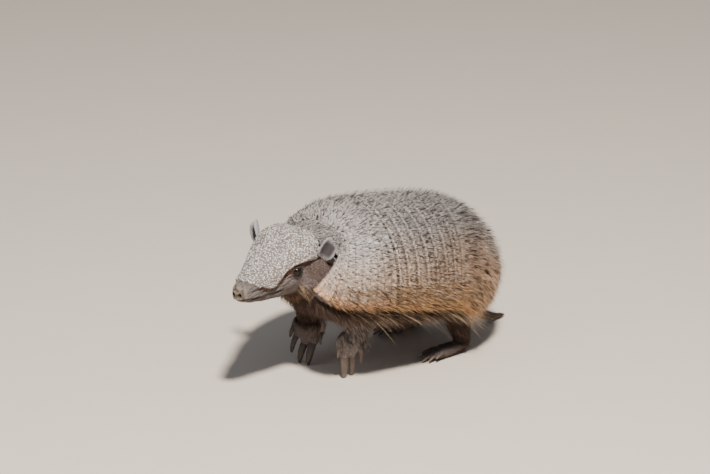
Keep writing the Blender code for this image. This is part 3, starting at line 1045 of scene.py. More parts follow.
def shape_lids(point, sign, marks):
    """The opening of an eye, its lip and the creases round it, with painted shade in the creases and along
    the opening.
    """
    reach, x, y = lid_ellipse(point, sign)
    if reach < 4.2:
        centre = eye_centre(sign)
        ray = (point - centre).normalized()
        if reach < 1.0:
            point = centre + ray * (EYE_RADIUS - 1.4)
        else:
            lip = EYE_RADIUS + 0.75 + 0.25 * math.cos(min(reach - 1, 1) * math.pi)
            point = point.lerp(centre + ray * lip, 1 - smooth(1.5, 4.2, reach))
            crease = bell(reach, 2.2, 0.22) * (1.0 if y > 0 else 0.6)
            crease += 0.6 * bell(reach, 2.9, 0.2)
            point -= ray * crease * 0.35
            deepen(marks, fold=max(0.55 * crease, smooth(1.45, 1.12, reach)))
        front = smooth(0.2, 1.2, x) * smooth(-0.8, 0.3, y)
        deepen(marks, lid=smooth(3.2, 1.3, reach) * (0.35 + 0.65 * front))
    return point


def shape_under_shield(point, normal, place, marks):
    """The skin sinks under the overhanging edge of the head shield, and takes a rust colour there that is
    partly rust skin and partly painted shade, with painted shade right under the edge.
    """
    across, ahead, up = place
    half_width, top, bottom = head_section(ahead)
    angle = math.degrees(math.atan2(abs(across) / half_width, up / (top if up > 0 else bottom)))
    part = (ahead - HEAD_SHIELD_REAR) / (HEAD_SHIELD_FRONT - HEAD_SHIELD_REAR)
    below = angle - along(HEAD_SHIELD_REACH, part * (len(HEAD_SHIELD_REACH) - 1))[0]
    off = below * half_width * 0.0175
    hollow = smooth(-6, -1, off) * smooth(6.5, 0.5, off)
    hollow *= smooth(-2, 8, ahead) * smooth(74, 60, ahead)
    away = smooth(1.2, 2.6, lid_distance(point))
    deepen(
        marks,
        lid=0.9 * (hollow * smooth(4.5, 0.5, off)),
        fold=0.35 * smooth(2.2, 0.0, off) * hollow * smooth(26, 16, ahead),
    )
    return point - normal * hollow * 2.2 * away


def shape_mouth(point, normal, place, marks):
    """The mouth runs back along the side of the snout, under a slight lip, with painted shade in its
    groove.
    """
    _, ahead, up = place
    start, end = MOUTH[0][0], MOUTH[-1][0]
    off = up - along(MOUTH, (ahead - start) / (end - start) * (len(MOUTH) - 1))[1]
    ends = smooth(start - 6, start + 4, ahead)
    groove = bell(off, 0, 0.75) * ends
    lip = bell(off, 2.0, 1.2) * ends
    deepen(marks, fold=groove * 0.95)
    return point - normal * groove * 1.5 + normal * lip * 0.4


def shape_nostril(point, sign, place, marks):
    """A nostril opens forwards in the pad of the nose, with a low rim and painted shade inside."""
    across, ahead, up = place
    hole = math.hypot(across - sign * NOSTRIL[0], (up - NOSTRIL[1]) * 0.85)
    if ahead > 82 and hole < 4.5:
        point = point - HEAD_FORWARDS * smooth(1.9, 1.1, hole) * 3.0
        point = point + HEAD_FORWARDS * bell(hole, 2.4, 0.7) * 0.5
        deepen(marks, fold=smooth(2.1, 1.5, hole))
    return point


def shape_face(point, normal):
    """Moves a point of the head for the lids, mouth, nostrils and folds, and gives its marks, painted shade
    among them.
    """
    place = head_place(point)
    across, ahead, up = place
    marks = {"fold": 0.0, "lid": 0.0, "nose": 0.0}
    for _, sign in SIDES:
        if across * sign >= 0:
            point = shape_lids(point, sign, marks)
    # A deep fold between the ear and the rim of the shoulder shield, with painted shade in it.
    pit = math.hypot((ahead + 3) / 9, (up + 10) / 6.5)
    pit = smooth(1.0, 0.5, pit) * smooth(24, 30, abs(across))
    point = point - normal * pit * 3.0
    deepen(marks, fold=0.85 * pit)
    # Painted shade darkens the cheek to a dark brown behind the eye and under the ear.
    shaded = smooth(25, 14, ahead) * smooth(-28, -15, up) * smooth(12, 20, abs(across))
    shaded *= smooth(1.4, 2.4, lid_distance(point))
    deepen(marks, fold=0.5 * shaded, lid=0.35 * shaded)
    if 0 < ahead < 74:
        point = shape_under_shield(point, normal, place, marks)
    if MOUTH[0][0] - 6 < ahead < MOUTH[-1][0] + 4:
        point = shape_mouth(point, normal, place, marks)
    for _, sign in SIDES:
        point = shape_nostril(point, sign, place, marks)
    marks["nose"] = smooth(80, 86.5, ahead + 0.35 * (up + 1))
    # Folds of skin along the snout and cheek.
    if 20 < ahead < 86:
        wave = noise.noise(Vector((across * 0.12, ahead * 0.05, up * 0.55)))
        point = point + normal * wave * 1.6 * (smooth(20, 50, ahead) * smooth(88, 80, ahead))
    return point, marks


def ear_hollow(point, sign):
    """How far a place is on an ear and in its cup, each from 0 to 1."""
    root, tip_direction, across, opening = ear_frame(sign)
    offset = Vector(point) - root
    high = offset.dot(tip_direction)
    if not -4 < high < EAR_LENGTH + 3:
        return 0.0, 0.0
    wide = abs(offset.dot(across))
    out = offset.dot(opening)
    if wide > 10 or abs(out - 3) > 12:
        return 0.0, 0.0
    on_ear = smooth(-3, 3, high) * smooth(10, 9, wide) * smooth(11, 9, abs(out - 4))
    radius = ear_radius(min(max((high + 3) / (EAR_LENGTH + 3), 0.05), 0.95))
    depth = radius - math.hypot(out - radius, wide)
    cup = smooth(0.3, 1.1, depth) * smooth(EAR_LENGTH - 2, EAR_LENGTH - 8, high)
    cup *= smooth(radius * 0.95, radius * 0.45, out)
    return on_ear, cup


def skin_marks(point, head_marks):
    """What part of the body a point of the skin belongs to, as marks from 0 to 1."""
    across, ahead, up = head_place(point)
    marks = {**dict.fromkeys(SKIN_MARKS, 0.0), **head_marks}
    if near_head(point):
        half_width, _, _ = head_section(ahead)
        marks["head"] = smooth(-16, -8, ahead) * smooth(half_width + 9, half_width + 3, abs(across))
        marks["snout"] = smooth(30, 50, ahead - 0.5 * (up + 10))
        for _, sign in SIDES:
            on_ear, cup = ear_hollow(point, sign)
            # Painted shade in the cup of each ear.
            deepen(marks, ear=on_ear, fold=cup * on_ear * 0.9)
    if point.z > 76 and point.y < 6:
        deepen(marks, head=smooth(4, -4, point.y) * smooth(78, 90, point.z))
    wander = 4 * noise.noise(point / 9)
    marks["leg"] = smooth(66, 56, point.z + wander) if abs(point.x) > 14 else 0.0
    if point.y < 60:
        # Painted shade: the right forepaw, on the far side, takes less of the pale paw colour.
        marks["paw"] = smooth(46, 38, point.z + wander) * (1.0 if point.x > 0 else 0.45)
    else:
        marks["paw"] = 0.25 * smooth(17, 11, point.z + wander) * marks["leg"]
    if point.y > 140 and abs(point.x) < 20:
        marks["tail"] = smooth(150, 158, point.y + wander)
        marks["leg"] = 0.0
        marks["paw"] = 0.0
    return marks


def make_skin(finish):
    """The one skin over trunk, neck, head, ears, legs, feet and tail."""
    sizes = settings()
    bm = remeshed(flesh(), sizes.voxel)
    cut_hidden_back(bm)
    smooth_verts(bm, [vert for vert in bm.verts if vert.co.z > TOES_TOP or not on_ear_or_toe(vert.co)])
    smooth_verts(bm, [vert for vert in bm.verts if not on_ear_or_toe(vert.co)])
    refine(bm, lambda co: near_head(co) and head_place(co)[1] > 8 and not under_head_shield(co))
    refine(bm, lambda co: lid_distance(co) < 3.6)
    bm.normal_update()
    marks = Marks()
    for vert in bm.verts:
        head_marks = {}
        if near_head(vert.co) and not ear_part(vert.co):
            vert.co, head_marks = shape_face(vert.co, vert.normal)
        vert.co.z = max(vert.co.z, 0.0)
        marks.note(**skin_marks(vert.co, head_marks))
    nodes = ["trunk", "neck", "head", "tail", "ear_left", "ear_right", *LIMBS]
    keep("skin", bm, finish, nodes, marks)


def ear_part(point):
    """Whether a place belongs to an ear."""
    return any(ear_hollow(point, sign)[0] > 0.05 for _, sign in SIDES)


def on_ear_or_toe(point):
    """Whether a place is on a thin part that smoothing would shrink."""
    return point.z < TOES_TOP or ear_part(point)


def under_head_shield(point):
    """Whether a place on the head is well covered by its shield."""
    across, ahead, up = head_place(point)
    if ahead > HEAD_SHIELD_FRONT - 8:
        return False
    half_width, top, _ = head_section(ahead)
    angle = math.degrees(math.atan2(abs(across) / half_width, up / top))
    return angle < 62


# ---------------------------------------------------------------- eyes and claws

def make_eyes(finish):
    """Two globes with a bulging cornea and a ring where the iris ends."""
    for side, sign in SIDES:
        centre = eye_centre(sign)
        outwards = eye_outwards(sign)
        rings = []

        def globe(part, angle):
            ray = Vector((
                math.sin(part * math.pi) * math.cos(angle),
                math.sin(part * math.pi) * math.sin(angle),
                math.cos(part * math.pi),
            ))
            front = ray.dot(outwards)
            rings.append(smooth(0.75, 0.86, front) * smooth(0.97, 0.92, front))
            return centre + ray * (EYE_RADIUS - 0.2 + 0.35 * smooth(0.7, 0.95, front))

        bm = bmesh.new()
        ball(bm, 32, 40, globe)
        keep("eyeball_" + side, bm, finish, ("eye_" + side,), {"ring": rings})


def make_claws(finish):
    """Each claw is a ridged hook, flatter below, that grows from its toe and ends in a blunt tip."""
    for foot, (knuckle, broad, pointing, bow, digits) in FEET.items():
        across = Vector(broad).normalized()
        ahead = Vector(pointing).normalized()
        for number, (offset, lift, length, width, splay) in enumerate(digits):
            root = Vector(knuckle) + across * offset - ahead * lift
            tip = root + (ahead + across * splay).normalized() * length
            tip.z = max(tip.z, -1.0)
            middle = (root + tip) / 2 + Vector(bow)
            rows = (
                (*(root + (root - middle) * 0.35), width * 0.40),
                (*root, width * 0.5),
                (*middle, width * 0.46),
                (*tip, width * 0.22),
            )
            round_place = limb_place(rows, 0.78, across, blunt=8)
            reach = []

            def horn(part, angle):
                # A shallow channel under the claw and a keel on top of it.
                place = round_place(part, angle)
                centre = Vector(along(rows, part * 3)[:3])
                under = 1 - 0.22 * max(math.sin(angle), 0) ** 3
                ripple = 1 + 0.03 * math.sin(part * 46 + number)
                # Painted shade: the claws of the right forefoot, on the far side, keep the dark root colour
                # further along.
                reach.append(part * (0.35 if foot == "forefoot_right" else 1.0))
                return centre + (place - centre) * under * ripple

            bm = bmesh.new()
            ball(bm, 30, 20, horn)
            for vert in bm.verts:
                vert.co.z = max(vert.co.z, 0.0)
            node = f"{foot}_claw_{number + 1}"
            keep("horn_" + node, bm, finish, (node,), {"reach": reach})


# ---------------------------------------------------------------- coat

TUFT_PATCH = 0.003            # share of the map that one hair takes up
BAND_SECTIONS = (PELVIS_START - SHOULDER_END) / BAND_COUNT
BAND_LENGTH = 36              # distance between two sections along the bands
BAND_PITCH = BAND_LENGTH * BAND_SECTIONS
SHELL_HAIR_DEPTH = 0.4        # how far the root of a hair is buried
HAIR_COUNT = {
    "nuchal": 2400,
    "rim": 7400,
    "belly": 8800,
    "guard": 420,
    "leg": 2600,
    "foot": 800,
    "tail": 2200,
    "face": 2200,
    "cheek": 34,
    "neck": 3400,
}


def hair_shape(joints):
    """A three-sided hair one unit long, for the arrays that copy it: points and faces."""
    bm = bmesh.new()
    bmesh.ops.create_circle(bm, cap_ends=True, segments=3, radius=0.5)
    face = next(iter(bm.faces))
    for _ in range(joints):
        grown = bmesh.ops.extrude_face_region(bm, geom=[face])["geom"]
        bmesh.ops.translate(
            bm,
            verts=[item for item in grown if isinstance(item, bmesh.types.BMVert)],
            vec=(0, 0, 1 / joints),
        )
        face = next(item for item in grown if isinstance(item, bmesh.types.BMFace))
    bmesh.ops.pointmerge(bm, verts=list(face.verts), merge_co=(0, 0, 1))
    bmesh.ops.recalc_face_normals(bm, faces=bm.faces)
    points = np.array([tuple(vert.co) for vert in bm.verts])
    faces = [[vert.index for vert in face.verts] for face in bm.faces]
    bm.free()
    return points, faces


class Coat:
    """Gathers hairs one by one and joins them into one mesh."""

    def __init__(self, name, joints):
        self.name = name
        self.points, self.faces = hair_shape(joints)
        self.rows = []
        self.marks = []

    def hair(self, root, direction, side, droop, length, width, patch, flank, rear, chance):
        """root, direction, side and droop are vectors in millimetres; patch is the root's place in UV."""
        self.rows.append((*root, *direction, *side, *droop, length, width, *patch))
        self.marks.append((flank, rear, chance))

    def build(self, material, slot):
        """Lays a copy of the hair at every root, bent by its droop and thinned towards its tip."""
        rows = np.array(self.rows)
        flank, rear, chance = np.array(self.marks).T
        count = len(rows)
        size = len(self.points)
        a, b, t = self.points.T
        root, direction, side, droop = (rows[:, None, i:i + 3] for i in (0, 3, 6, 9))
        length, width, u, v = (rows[:, None, i] for i in (12, 13, 14, 15))
        taper = np.maximum(1 - t ** 1.6, 0.0)
        places = root + direction * (length * t)[..., None] + droop * (length * t * t)[..., None]
        places += side * (width * a * taper)[..., None]
        places += np.cross(direction, side) * (width * b * taper)[..., None]
        places[..., 1] -= MIDDLE
        places[..., 2] = np.maximum(places[..., 2], 0.0)
        places *= MM
        loops = np.concatenate(self.faces)
        starts = np.cumsum([0, *(len(face) for face in self.faces[:-1])])
        copies = np.arange(count)[:, None]
        vertex_index = (loops + copies * size).ravel()
        loop_start = (starts + copies * len(loops)).ravel()
        mesh = bpy.data.meshes.new(self.name)
        mesh.vertices.add(count * size)
        mesh.vertices.foreach_set("co", places.ravel())
        mesh.loops.add(len(vertex_index))
        mesh.loops.foreach_set("vertex_index", vertex_index.astype(np.int32))
        mesh.polygons.add(len(loop_start))
        mesh.polygons.foreach_set("loop_start", loop_start.astype(np.int32))
        mesh.update(calc_edges=True)
        # Each hair has its own small patch of the map, at its root's place on the unwrapped skin.
        uv = np.stack([u + TUFT_PATCH * a * 0.8, v + TUFT_PATCH * (t - 0.5)], axis=-1).reshape(-1, 2)
        layer = mesh.uv_layers.new(name="OFBake")
        layer.data.foreach_set("uv", uv[vertex_index].ravel().astype(np.float32))
        marks = {"reach": np.tile(t, count)}
        for name, values in (("flank", flank), ("rear", rear), ("chance", chance)):
            marks[name] = np.repeat(values, size)
        adopt(self.name, mesh, material, (), marks)


def either(draw):
    """1 or -1, for the left or the right side."""
    return 1 if draw.random() < 0.5 else -1


def stray(draw, *amounts):
    """A random turn away from a direction."""
    return Vector([draw.gauss(0, amount) for amount in amounts])


def flattened(direction, normal):
    """A direction laid flat on a surface, and the way across it."""
    flat = (direction - normal * direction.dot(normal)).normalized()
    return flat, flat.cross(normal).normalized()


def round_patch(part, angle, start=0.02, share_of_map=0.95):
    """Place on the map of a limb that is unrolled."""
    return start + share_of_map * part, 0.02 + 0.95 * (angle / math.tau + 0.5)


def shell_map(section, turn):
    """Place on the unwrapped shell."""
    return 0.01 + 0.98 * section / REAR_EDGE, 0.01 + 0.98 * (turn + 1) / 2


def shell_frame(section, turn):
    """A point of the shell's surface, its direction to the rear and its outward normal."""
    step = 0.04
    here = carapace(section, turn, settings().coat_depth - 0.9 * SCUTE_RELIEF)
    behind = carapace(min(section + step, REAR_EDGE), turn, settings().coat_depth)
    before = carapace(max(section - step, 0), turn, settings().coat_depth)
    rearwards = (behind - before).normalized()
    round_arch = carapace(section, turn + 0.02, settings().coat_depth)
    round_arch = round_arch - carapace(section, turn - 0.02, settings().coat_depth)
    outwards = round_arch.cross(rearwards).normalized()
    middle = Vector((0, here.y if section < 5.5 else 70, 60))
    if outwards.dot(here - middle) < 0:
        outwards = -outwards
    return here, rearwards, outwards


def band_room(section):
    """Distance from a place on the bands to the rear edge of its band, in millimetres."""
    if not SHOULDER_END - 0.4 < section < PELVIS_START:
        return FAR
    if section < SHOULDER_END:
        return (SHOULDER_END - section) * BAND_LENGTH
    edge = math.ceil((section - SHOULDER_END) / BAND_SECTIONS) * BAND_SECTIONS + SHOULDER_END
    return (edge - section) * BAND_LENGTH


def bristle_is_left_out(draw, section, turn, room):
    """Bristles are thinner on the shoulder, near the rim and where a band comes from under the next."""
    narrowing = along(CARAPACE, section)[3] / 77
    if draw.random() > (0.35 + 0.65 * narrowing) * (0.78 + 0.22 * smooth(2.2, 3.2, section)):
        return True
    if abs(turn) > 0.93 and section < PELVIS_START and draw.random() < 0.65:
        return True
    behind_edge = BAND_PITCH - room if section < PELVIS_START else (section - PELVIS_START) * BAND_LENGTH
    bare = 0 < behind_edge < 2.5 or room < 1.0
    return bare and draw.random() < 0.96


def plant_tuft(draw, coat, section, turn, room):
    """Three bristles that lean together, lying back over the plates."""
    sizes = settings()
    here, rearwards, outwards = shell_frame(section, turn)
    flank = abs(turn)
    rear = section / REAR_EDGE
    rump = smooth(0.80, 1.0, rear)
    lying = (rearwards + Vector((0, 0.9 * rump, -0.35 * flank ** 2))).normalized()
    side = outwards.cross(lying).normalized()
    tuft_fan = draw.gauss(0, 0.2)
    tuft_rise = 0.16 + 0.15 * abs(draw.gauss(0, 1)) + 0.5 * rear ** 4
    tuft_chance = draw.random()
    upright_share = 0.05 + 0.12 * smooth(0.6, 0.2, flank) * smooth(0.1, 0.3, rear) + 0.06 * rump
    for _ in range(3):
        fan = tuft_fan + draw.gauss(0, 0.1)
        rise = tuft_rise + draw.uniform(0, 0.08)
        reach = sizes.bristle_length * (0.7 + 0.5 * draw.random())
        reach *= 0.75 + 0.5 * rear + 1.5 * rear ** 4 + 0.25 * smooth(0.7, 1.0, flank)
        reach *= 1 - 0.5 * smooth(0.9, 1.0, rear)
        if draw.random() < upright_share:
            rise += draw.uniform(0.4, 1.0)
            reach *= 1.25
        elif draw.random() < 0.85:
            reach = min(reach, max(room, 2.0))
        direction = (lying + side * fan + outwards * rise).normalized()
        droop = -outwards * 0.10 * rise + lying * 0.1
        spread = side * draw.uniform(-0.4, 0.4) + lying * draw.uniform(-0.4, 0.4)
        root = here + spread - outwards * SHELL_HAIR_DEPTH
        width = sizes.bristle_width * (0.7 + 0.6 * draw.random())
        chance = min(max(tuft_chance + draw.uniform(-0.08, 0.08), 0), 1)
        coat.hair(root, direction, side, droop, reach, width, shell_map(section, turn), flank, rear, chance)


def shell_bristles(draw):
    """Short bristles over the shields and the bands, in left and right halves."""
    spacing = settings().bristle_spacing
    coats = []
    for label, start, end in (("front", 0.05, 2.95), ("bands", 2.95, 5.05), ("rear", 5.05, 7.98)):
        halves = {sign: Coat(f"bristles_{label}_{side}", 2) for side, sign in SIDES}
        flank_line = [carapace(start + (end - start) * i / 8, 0.4, 0) for i in range(9)]
        length = sum((after - before).length for before, after in zip(flank_line, flank_line[1:]))
        rows = int(length / spacing)
        columns = int(255 / spacing)
        for row in range(rows):
            for column in range(columns):
                section = start + (end - start) * (row + draw.random()) / rows
                turn = -0.995 + 1.99 * (column + draw.random()) / columns
                room = band_room(section)
                if not bristle_is_left_out(draw, section, turn, room):
                    plant_tuft(draw, halves[1 if turn > 0 else -1], section, turn, room)
        coats.extend(halves.values())
    return coats


def nuchal_bristles(draw):
    """Bristles that lie back over the nuchal plate."""
    coat = Coat("bristles_nuchal", 2)
    for _ in range(HAIR_COUNT["nuchal"]):
        u = draw.random()
        turn = draw.uniform(-1, 1)
        here = nuchal_place(u, turn, 0.4)
        rearwards = (nuchal_place(0, turn, 0.4) - nuchal_place(1, turn, 0.4)).normalized()
        round_neck = nuchal_place(u, turn + 0.02, 0.4) - nuchal_place(u, turn - 0.02, 0.4)
        outwards = rearwards.cross(round_neck).normalized()
        if outwards.z < 0:
            outwards = -outwards
        side = outwards.cross(rearwards).normalized()
        direction = rearwards + side * draw.gauss(0, 0.2) + outwards * draw.uniform(0.15, 0.6)
        coat.hair(here, direction.normalized(), side, -outwards * 0.05, draw.uniform(3.5, 6.5), 0.42,
                  shell_map(0.3 * u, turn * 0.6), 0.2, 0.0, draw.random())
    return coat


def rim_fringe(draw):
    """Longer golden bristles behind the marginal scutes, longest round the rump."""
    coat = Coat("fringe_rim", 3)
    for _ in range(HAIR_COUNT["rim"]):
        section = 0.4 + 7.5 * draw.random() ** 0.75
        sign = either(draw)
        flank = 1 - 0.15 * draw.random() ** 1.5
        rear = section / REAR_EDGE
        here, rearwards, outwards = shell_frame(section, sign * flank * 0.995)
        side = outwards.cross(rearwards).normalized()
        rump = smooth(0.78, 1.0, rear)
        direction = rearwards * (0.9 - 0.6 * rump) + Vector((0, 0.8 * rump, -0.40 + 0.34 * rear))
        direction += outwards * draw.uniform(0.05, 0.55)
        direction = (direction + side * draw.gauss(0, 0.18)).normalized()
        length = draw.uniform(6, 12) + 13 * rear * draw.random() ** 1.4
        droop = Vector((0, 0, -0.14 + 0.1 * rear))
        coat.hair(here - outwards * 0.8, direction, side, droop, length, 0.42 * draw.uniform(0.6, 1.1),
                  shell_map(section, sign * flank), flank, rear, draw.random())
    return coat


class Hide:
    """The finished skin, for finding where a hair grows from it."""

    def __init__(self, skin):
        mesh = skin.data
        places = [vert.co / MM + Vector((0, MIDDLE, 0)) for vert in mesh.vertices]
        self.tree = BVHTree.FromPolygons(places, [tuple(face.vertices) for face in mesh.polygons])

    def root(self, place):
        """The nearest place on the skin and the way out of it."""
        here, normal, _, _ = self.tree.find_nearest(place)
        return here, normal


def belly_hair(hide, draw):
    """Coarse dark hair under the rim."""
    coat = Coat("hair_belly", 3)
    for number in range(HAIR_COUNT["belly"]):
        section = 0.4 + 7.3 * draw.random()
        turn = (0.55 + 0.45 * draw.random() ** 0.7) * either(draw)
        if number % 5 == 0:
            section = draw.uniform(0.0, 1.6)
            turn = draw.uniform(-0.9, 0.9)
        here, normal = hide.root(underside(section, turn))
        direction = Vector((0.15 * math.copysign(1, turn), 0.6, -0.75)) + normal * 0.35
        direction = (direction + stray(draw, 0.2, 0.2, 0.15)).normalized()
        side = direction.cross(normal).normalized()
        coat.hair(here, direction, side, Vector((0, 0.1, -0.15)), draw.uniform(8, 17), 0.45,
                  shell_map(section, turn), abs(turn), section / REAR_EDGE, draw.random())
    return coat


def guard_hair(hide, draw):
    """Long pale hairs that hang out from under the rim."""
    coat = Coat("hair_guard", 6)
    for _ in range(HAIR_COUNT["guard"]):
        section = 0.5 + 7.2 * draw.random() ** 0.85
        sign = either(draw)
        turn = sign * draw.uniform(0.9, 1.0)
        here, _ = hide.root(underside(section, turn))
        direction = Vector((sign * 0.35, 0.85, -0.25 - 0.5 * draw.random()))
        direction = (direction + stray(draw, 0.12, 0.15, 0.1)).normalized()
        side = direction.cross(Vector((0, 0, 1))).normalized()
        length = draw.uniform(14, 30) + 22 * draw.random() ** 3
        droop = Vector((0, 0.05, -0.38 * draw.random()))
        coat.hair(here, direction, side, droop, length, 0.4 * draw.uniform(0.7, 1.2),
                  shell_map(section, turn), 1.0, section / REAR_EDGE, draw.random())
    return coat


def limb_hair(hide, draw):
    """Dark hair down the legs, thin and short on the feet."""
    coats = []
    for index, (name, (rows, flat, side_way)) in enumerate(LIMBS.items()):
        is_leg = "leg" in name
        place = limb_place(rows, flat, side_way)
        coat = Coat("hair_" + name, 3 if is_leg else 2)
        for _ in range(HAIR_COUNT["leg" if is_leg else "foot"]):
            part = draw.uniform(0.12, 0.97) if is_leg else draw.uniform(0.1, 0.85)
            angle = draw.uniform(-math.pi, math.pi)
            here, normal = hide.root(place(part, angle))
            ahead = (place(min(part + 0.04, 0.99), angle) - place(part - 0.04, angle)).normalized()
            sweep = Vector((0, 0.35, 0)) * (1 if is_leg else 0.2)
            lying, side = flattened(ahead + sweep, normal)
            rise = draw.uniform(0.15, 0.5)
            direction = (lying + normal * rise + side * draw.gauss(0, 0.25)).normalized()
            if is_leg:
                length = draw.uniform(6, 12)
            else:
                length = draw.uniform(2.5, 5.5) + 4 * smooth(0.5, 0.1, part)
            if name.startswith("foreleg") and normal.y > 0.2:
                length *= 1.7
            width = 0.42 if is_leg else 0.32
            patch = round_patch(part, angle, 0.02 + 0.12 * index, 0.1)
            coat.hair(here - normal * 0.3, direction, side, -normal * 0.1, length, width, patch,
                      0.9, 0.5, draw.random())
        coats.append(coat)
    return coats


def tail_hair(hide, draw):
    """Short dark hair along the tail."""
    coat = Coat("hair_tail", 2)
    place = limb_place(TAIL, blunt=12)
    for _ in range(HAIR_COUNT["tail"]):
        part = draw.uniform(0.12, 0.985)
        angle = draw.uniform(-math.pi, math.pi)
        here, normal = hide.root(place(part, angle))
        ahead = (place(min(part + 0.03, 0.99), angle) - place(part - 0.03, angle)).normalized()
        side = ahead.cross(normal).normalized()
        direction = (ahead + normal * draw.uniform(0.15, 0.5) + side * draw.gauss(0, 0.2)).normalized()
        coat.hair(here - normal * 0.3, direction, side, -normal * 0.08, draw.uniform(3, 6), 0.26,
                  round_patch(part, angle), 0.7, 0.9, draw.random())
    return coat


def head_patch(ahead, angle):
    """Place on the map of the head, unrolled from the crown."""
    return 0.05 + 0.9 * (ahead + 10) / 100, 0.5 + 0.45 * angle / math.pi


def face_hair(hide, draw):
    """Short hairs on cheeks, chin and throat."""
    coat = Coat("hair_face", 2)
    for _ in range(HAIR_COUNT["face"]):
        ahead = draw.uniform(-8, 80)
        angle = math.radians(180 - 60 * draw.random() ** 1.6) * either(draw)
        here, normal = hide.root(head_skin(ahead, angle))
        if lid_distance(here) < 1.6:
            continue
        lying, side = flattened(HEAD_FRAME @ Vector((0, 1, -0.35)), normal)
        direction = (lying + normal * draw.uniform(0.2, 0.6) + side * draw.gauss(0, 0.25)).normalized()
        back = smooth(60, 0, ahead)
        length = 1.0 + 1.0 * back * draw.random() + 4.5 * back * smooth(2.2, 3.1, abs(angle))
        coat.hair(here, direction, side, -normal * 0.1, length, 0.2, head_patch(ahead, angle),
                  0.4, 0.0, draw.random())
    return coat


def cheek_hair(hide, draw):
    """A few long pale bristles in two rows on each cheek."""
    coat = Coat("hair_cheek", 6)
    for _, sign in SIDES:
        for _ in range(HAIR_COUNT["cheek"]):
            ahead = draw.choice((6, 10, 24, 27)) + draw.gauss(0, 1.6)
            angle = sign * math.radians(draw.gauss(124, 7))
            here, normal = hide.root(head_skin(ahead, angle))
            direction = HEAD_FRAME @ Vector((sign * 0.25, 0.45, -0.85)) + normal * 0.35
            direction = (direction + stray(draw, 0.12, 0.12, 0.12)).normalized()
            side = direction.cross(normal).normalized()
            coat.hair(here, direction, side, Vector((0, 0.1, -0.1)), draw.uniform(9, 24), 0.28,
                      head_patch(ahead, angle), 0.4, 0.0, draw.uniform(0.3, 1.0))
    return coat


def neck_hair(hide, draw):
    """Tufts in front of the shoulder shield and over the throat."""
    coat = Coat("hair_neck", 3)
    neck = limb_place([(0, y, z, radius) for y, z, radius in NECK], 0.76)
    for _ in range(HAIR_COUNT["neck"]):
        part = draw.uniform(0.15, 0.95)
        angle = draw.uniform(-math.pi, math.pi)
        here, normal = hide.root(neck(part, angle))
        _, ahead, up = head_place(here)
        if ahead > -4 and up > -24:
            continue
        lying, side = flattened(Vector((0, 0.9, -0.45)), normal)
        direction = (lying + normal * draw.uniform(0.2, 0.6) + side * draw.gauss(0, 0.25)).normalized()
        coat.hair(here, direction, side, Vector((0, 0, -0.15)), draw.uniform(4, 9), 0.3,
                  round_patch(part, angle), 0.6, 0.0, draw.random())
    return coat


# ---------------------------------------------------------------- stage

CAMERA_AZIMUTH = 54
CAMERA_HEIGHT_ANGLE = 20
LENS = 180
SENSOR_WIDTH = 36
VIEW_WIDTH = 653.2            # what the view spans at the animal
LOOK_AT = (20.0, 27.5, 133.1)
FLOOR_REACH = 9.0             # metres from the middle to each side
FLOOR_LEVEL = -0.0003         # metres, just under the claws
SKY_COLOUR = (0.80, 0.88, 1.0, 1)
SKY_STRENGTH = 0.24
LAMP_TARGET = (0, 0, 0.06)    # metres

# Each lamp: name, azimuth, elevation, distance and size in metres, power in watts, colour.
LAMPS = (
    ("key", 60, 57, 2.4, 0.24, 120, (1.0, 0.955, 0.885)),
    ("fill", -10, 40, 2.6, 1.6, 6, (0.86, 0.92, 1.0)),
)


def towards(azimuth, elevation):
    """Unit vector from the animal towards a viewer or a lamp."""
    turn = math.radians(azimuth)
    lift = math.radians(elevation)
    return Vector((math.sin(turn) * math.cos(lift), -math.cos(turn) * math.cos(lift), math.sin(lift)))


def aim(item, target):
    """Points a camera or lamp at a place in metres."""
    item.rotation_euler = (target - item.location).to_track_quat("-Z", "Y").to_euler()


def add_lamp(name, azimuth, elevation, distance, size, power, colour):
    """A round lamp aimed at the animal, at a distance and with a size in metres."""
    data = bpy.data.lights.new(name, "AREA")
    data.shape = "DISK"
    data.size = size
    data.energy = power
    data.color = colour
    lamp = added(name, data)
    lamp.location = towards(azimuth, elevation) * distance
    aim(lamp, Vector(LAMP_TARGET))


def floor_finish():
    """A dull paper floor with faint patches."""
    finish = Finish("studio_floor", roughness=0.9, specular=0.1)
    finish.colour(finish.shade(tint("floor"), finish.noise(14, 2, 0.5) * 0.04 + 0.98))
    return finish.material


def make_stage():
    """Floor, two lamps, a dim sky, and the camera that sees the animal from its left front."""
    bm = bmesh.new()
    bmesh.ops.create_grid(bm, x_segments=1, y_segments=1, size=FLOOR_REACH)
    mesh = mesh_of("studio_floor", bm)
    mesh.materials.append(floor_finish())
    floor = added("studio_floor", mesh)
    floor.location.z = FLOOR_LEVEL
    for lamp in LAMPS:
        add_lamp(*lamp)
    sky = bpy.data.worlds.new("soft_sky")
    sky.use_nodes = True
    sockets = sky.node_tree.nodes["Background"].inputs
    sockets["Color"].default_value = SKY_COLOUR
    sockets["Strength"].default_value = SKY_STRENGTH
    bpy.context.scene.world = sky
    data = bpy.data.cameras.new("view")
    data.lens = LENS
    data.sensor_width = SENSOR_WIDTH
    data.clip_end = 30
    camera = added("view", data)
    target = world(LOOK_AT)
    distance = VIEW_WIDTH * MM * LENS / SENSOR_WIDTH
    camera.location = target + towards(CAMERA_AZIMUTH, CAMERA_HEIGHT_ANGLE) * distance
    aim(camera, target)
    bpy.context.scene.camera = camera


# ---------------------------------------------------------------- add-on

def length_property(name, description, default, low, high):
    """A length in millimetres."""
    return FloatProperty(
        name=name, description=description + ", in millimetres", default=default, min=low, max=high
    )


def colour_property(name, description, default):
    """A linear colour without transparency."""
    return FloatVectorProperty(
        name=name, description=description, default=default, subtype="COLOR", min=0, max=1
    )


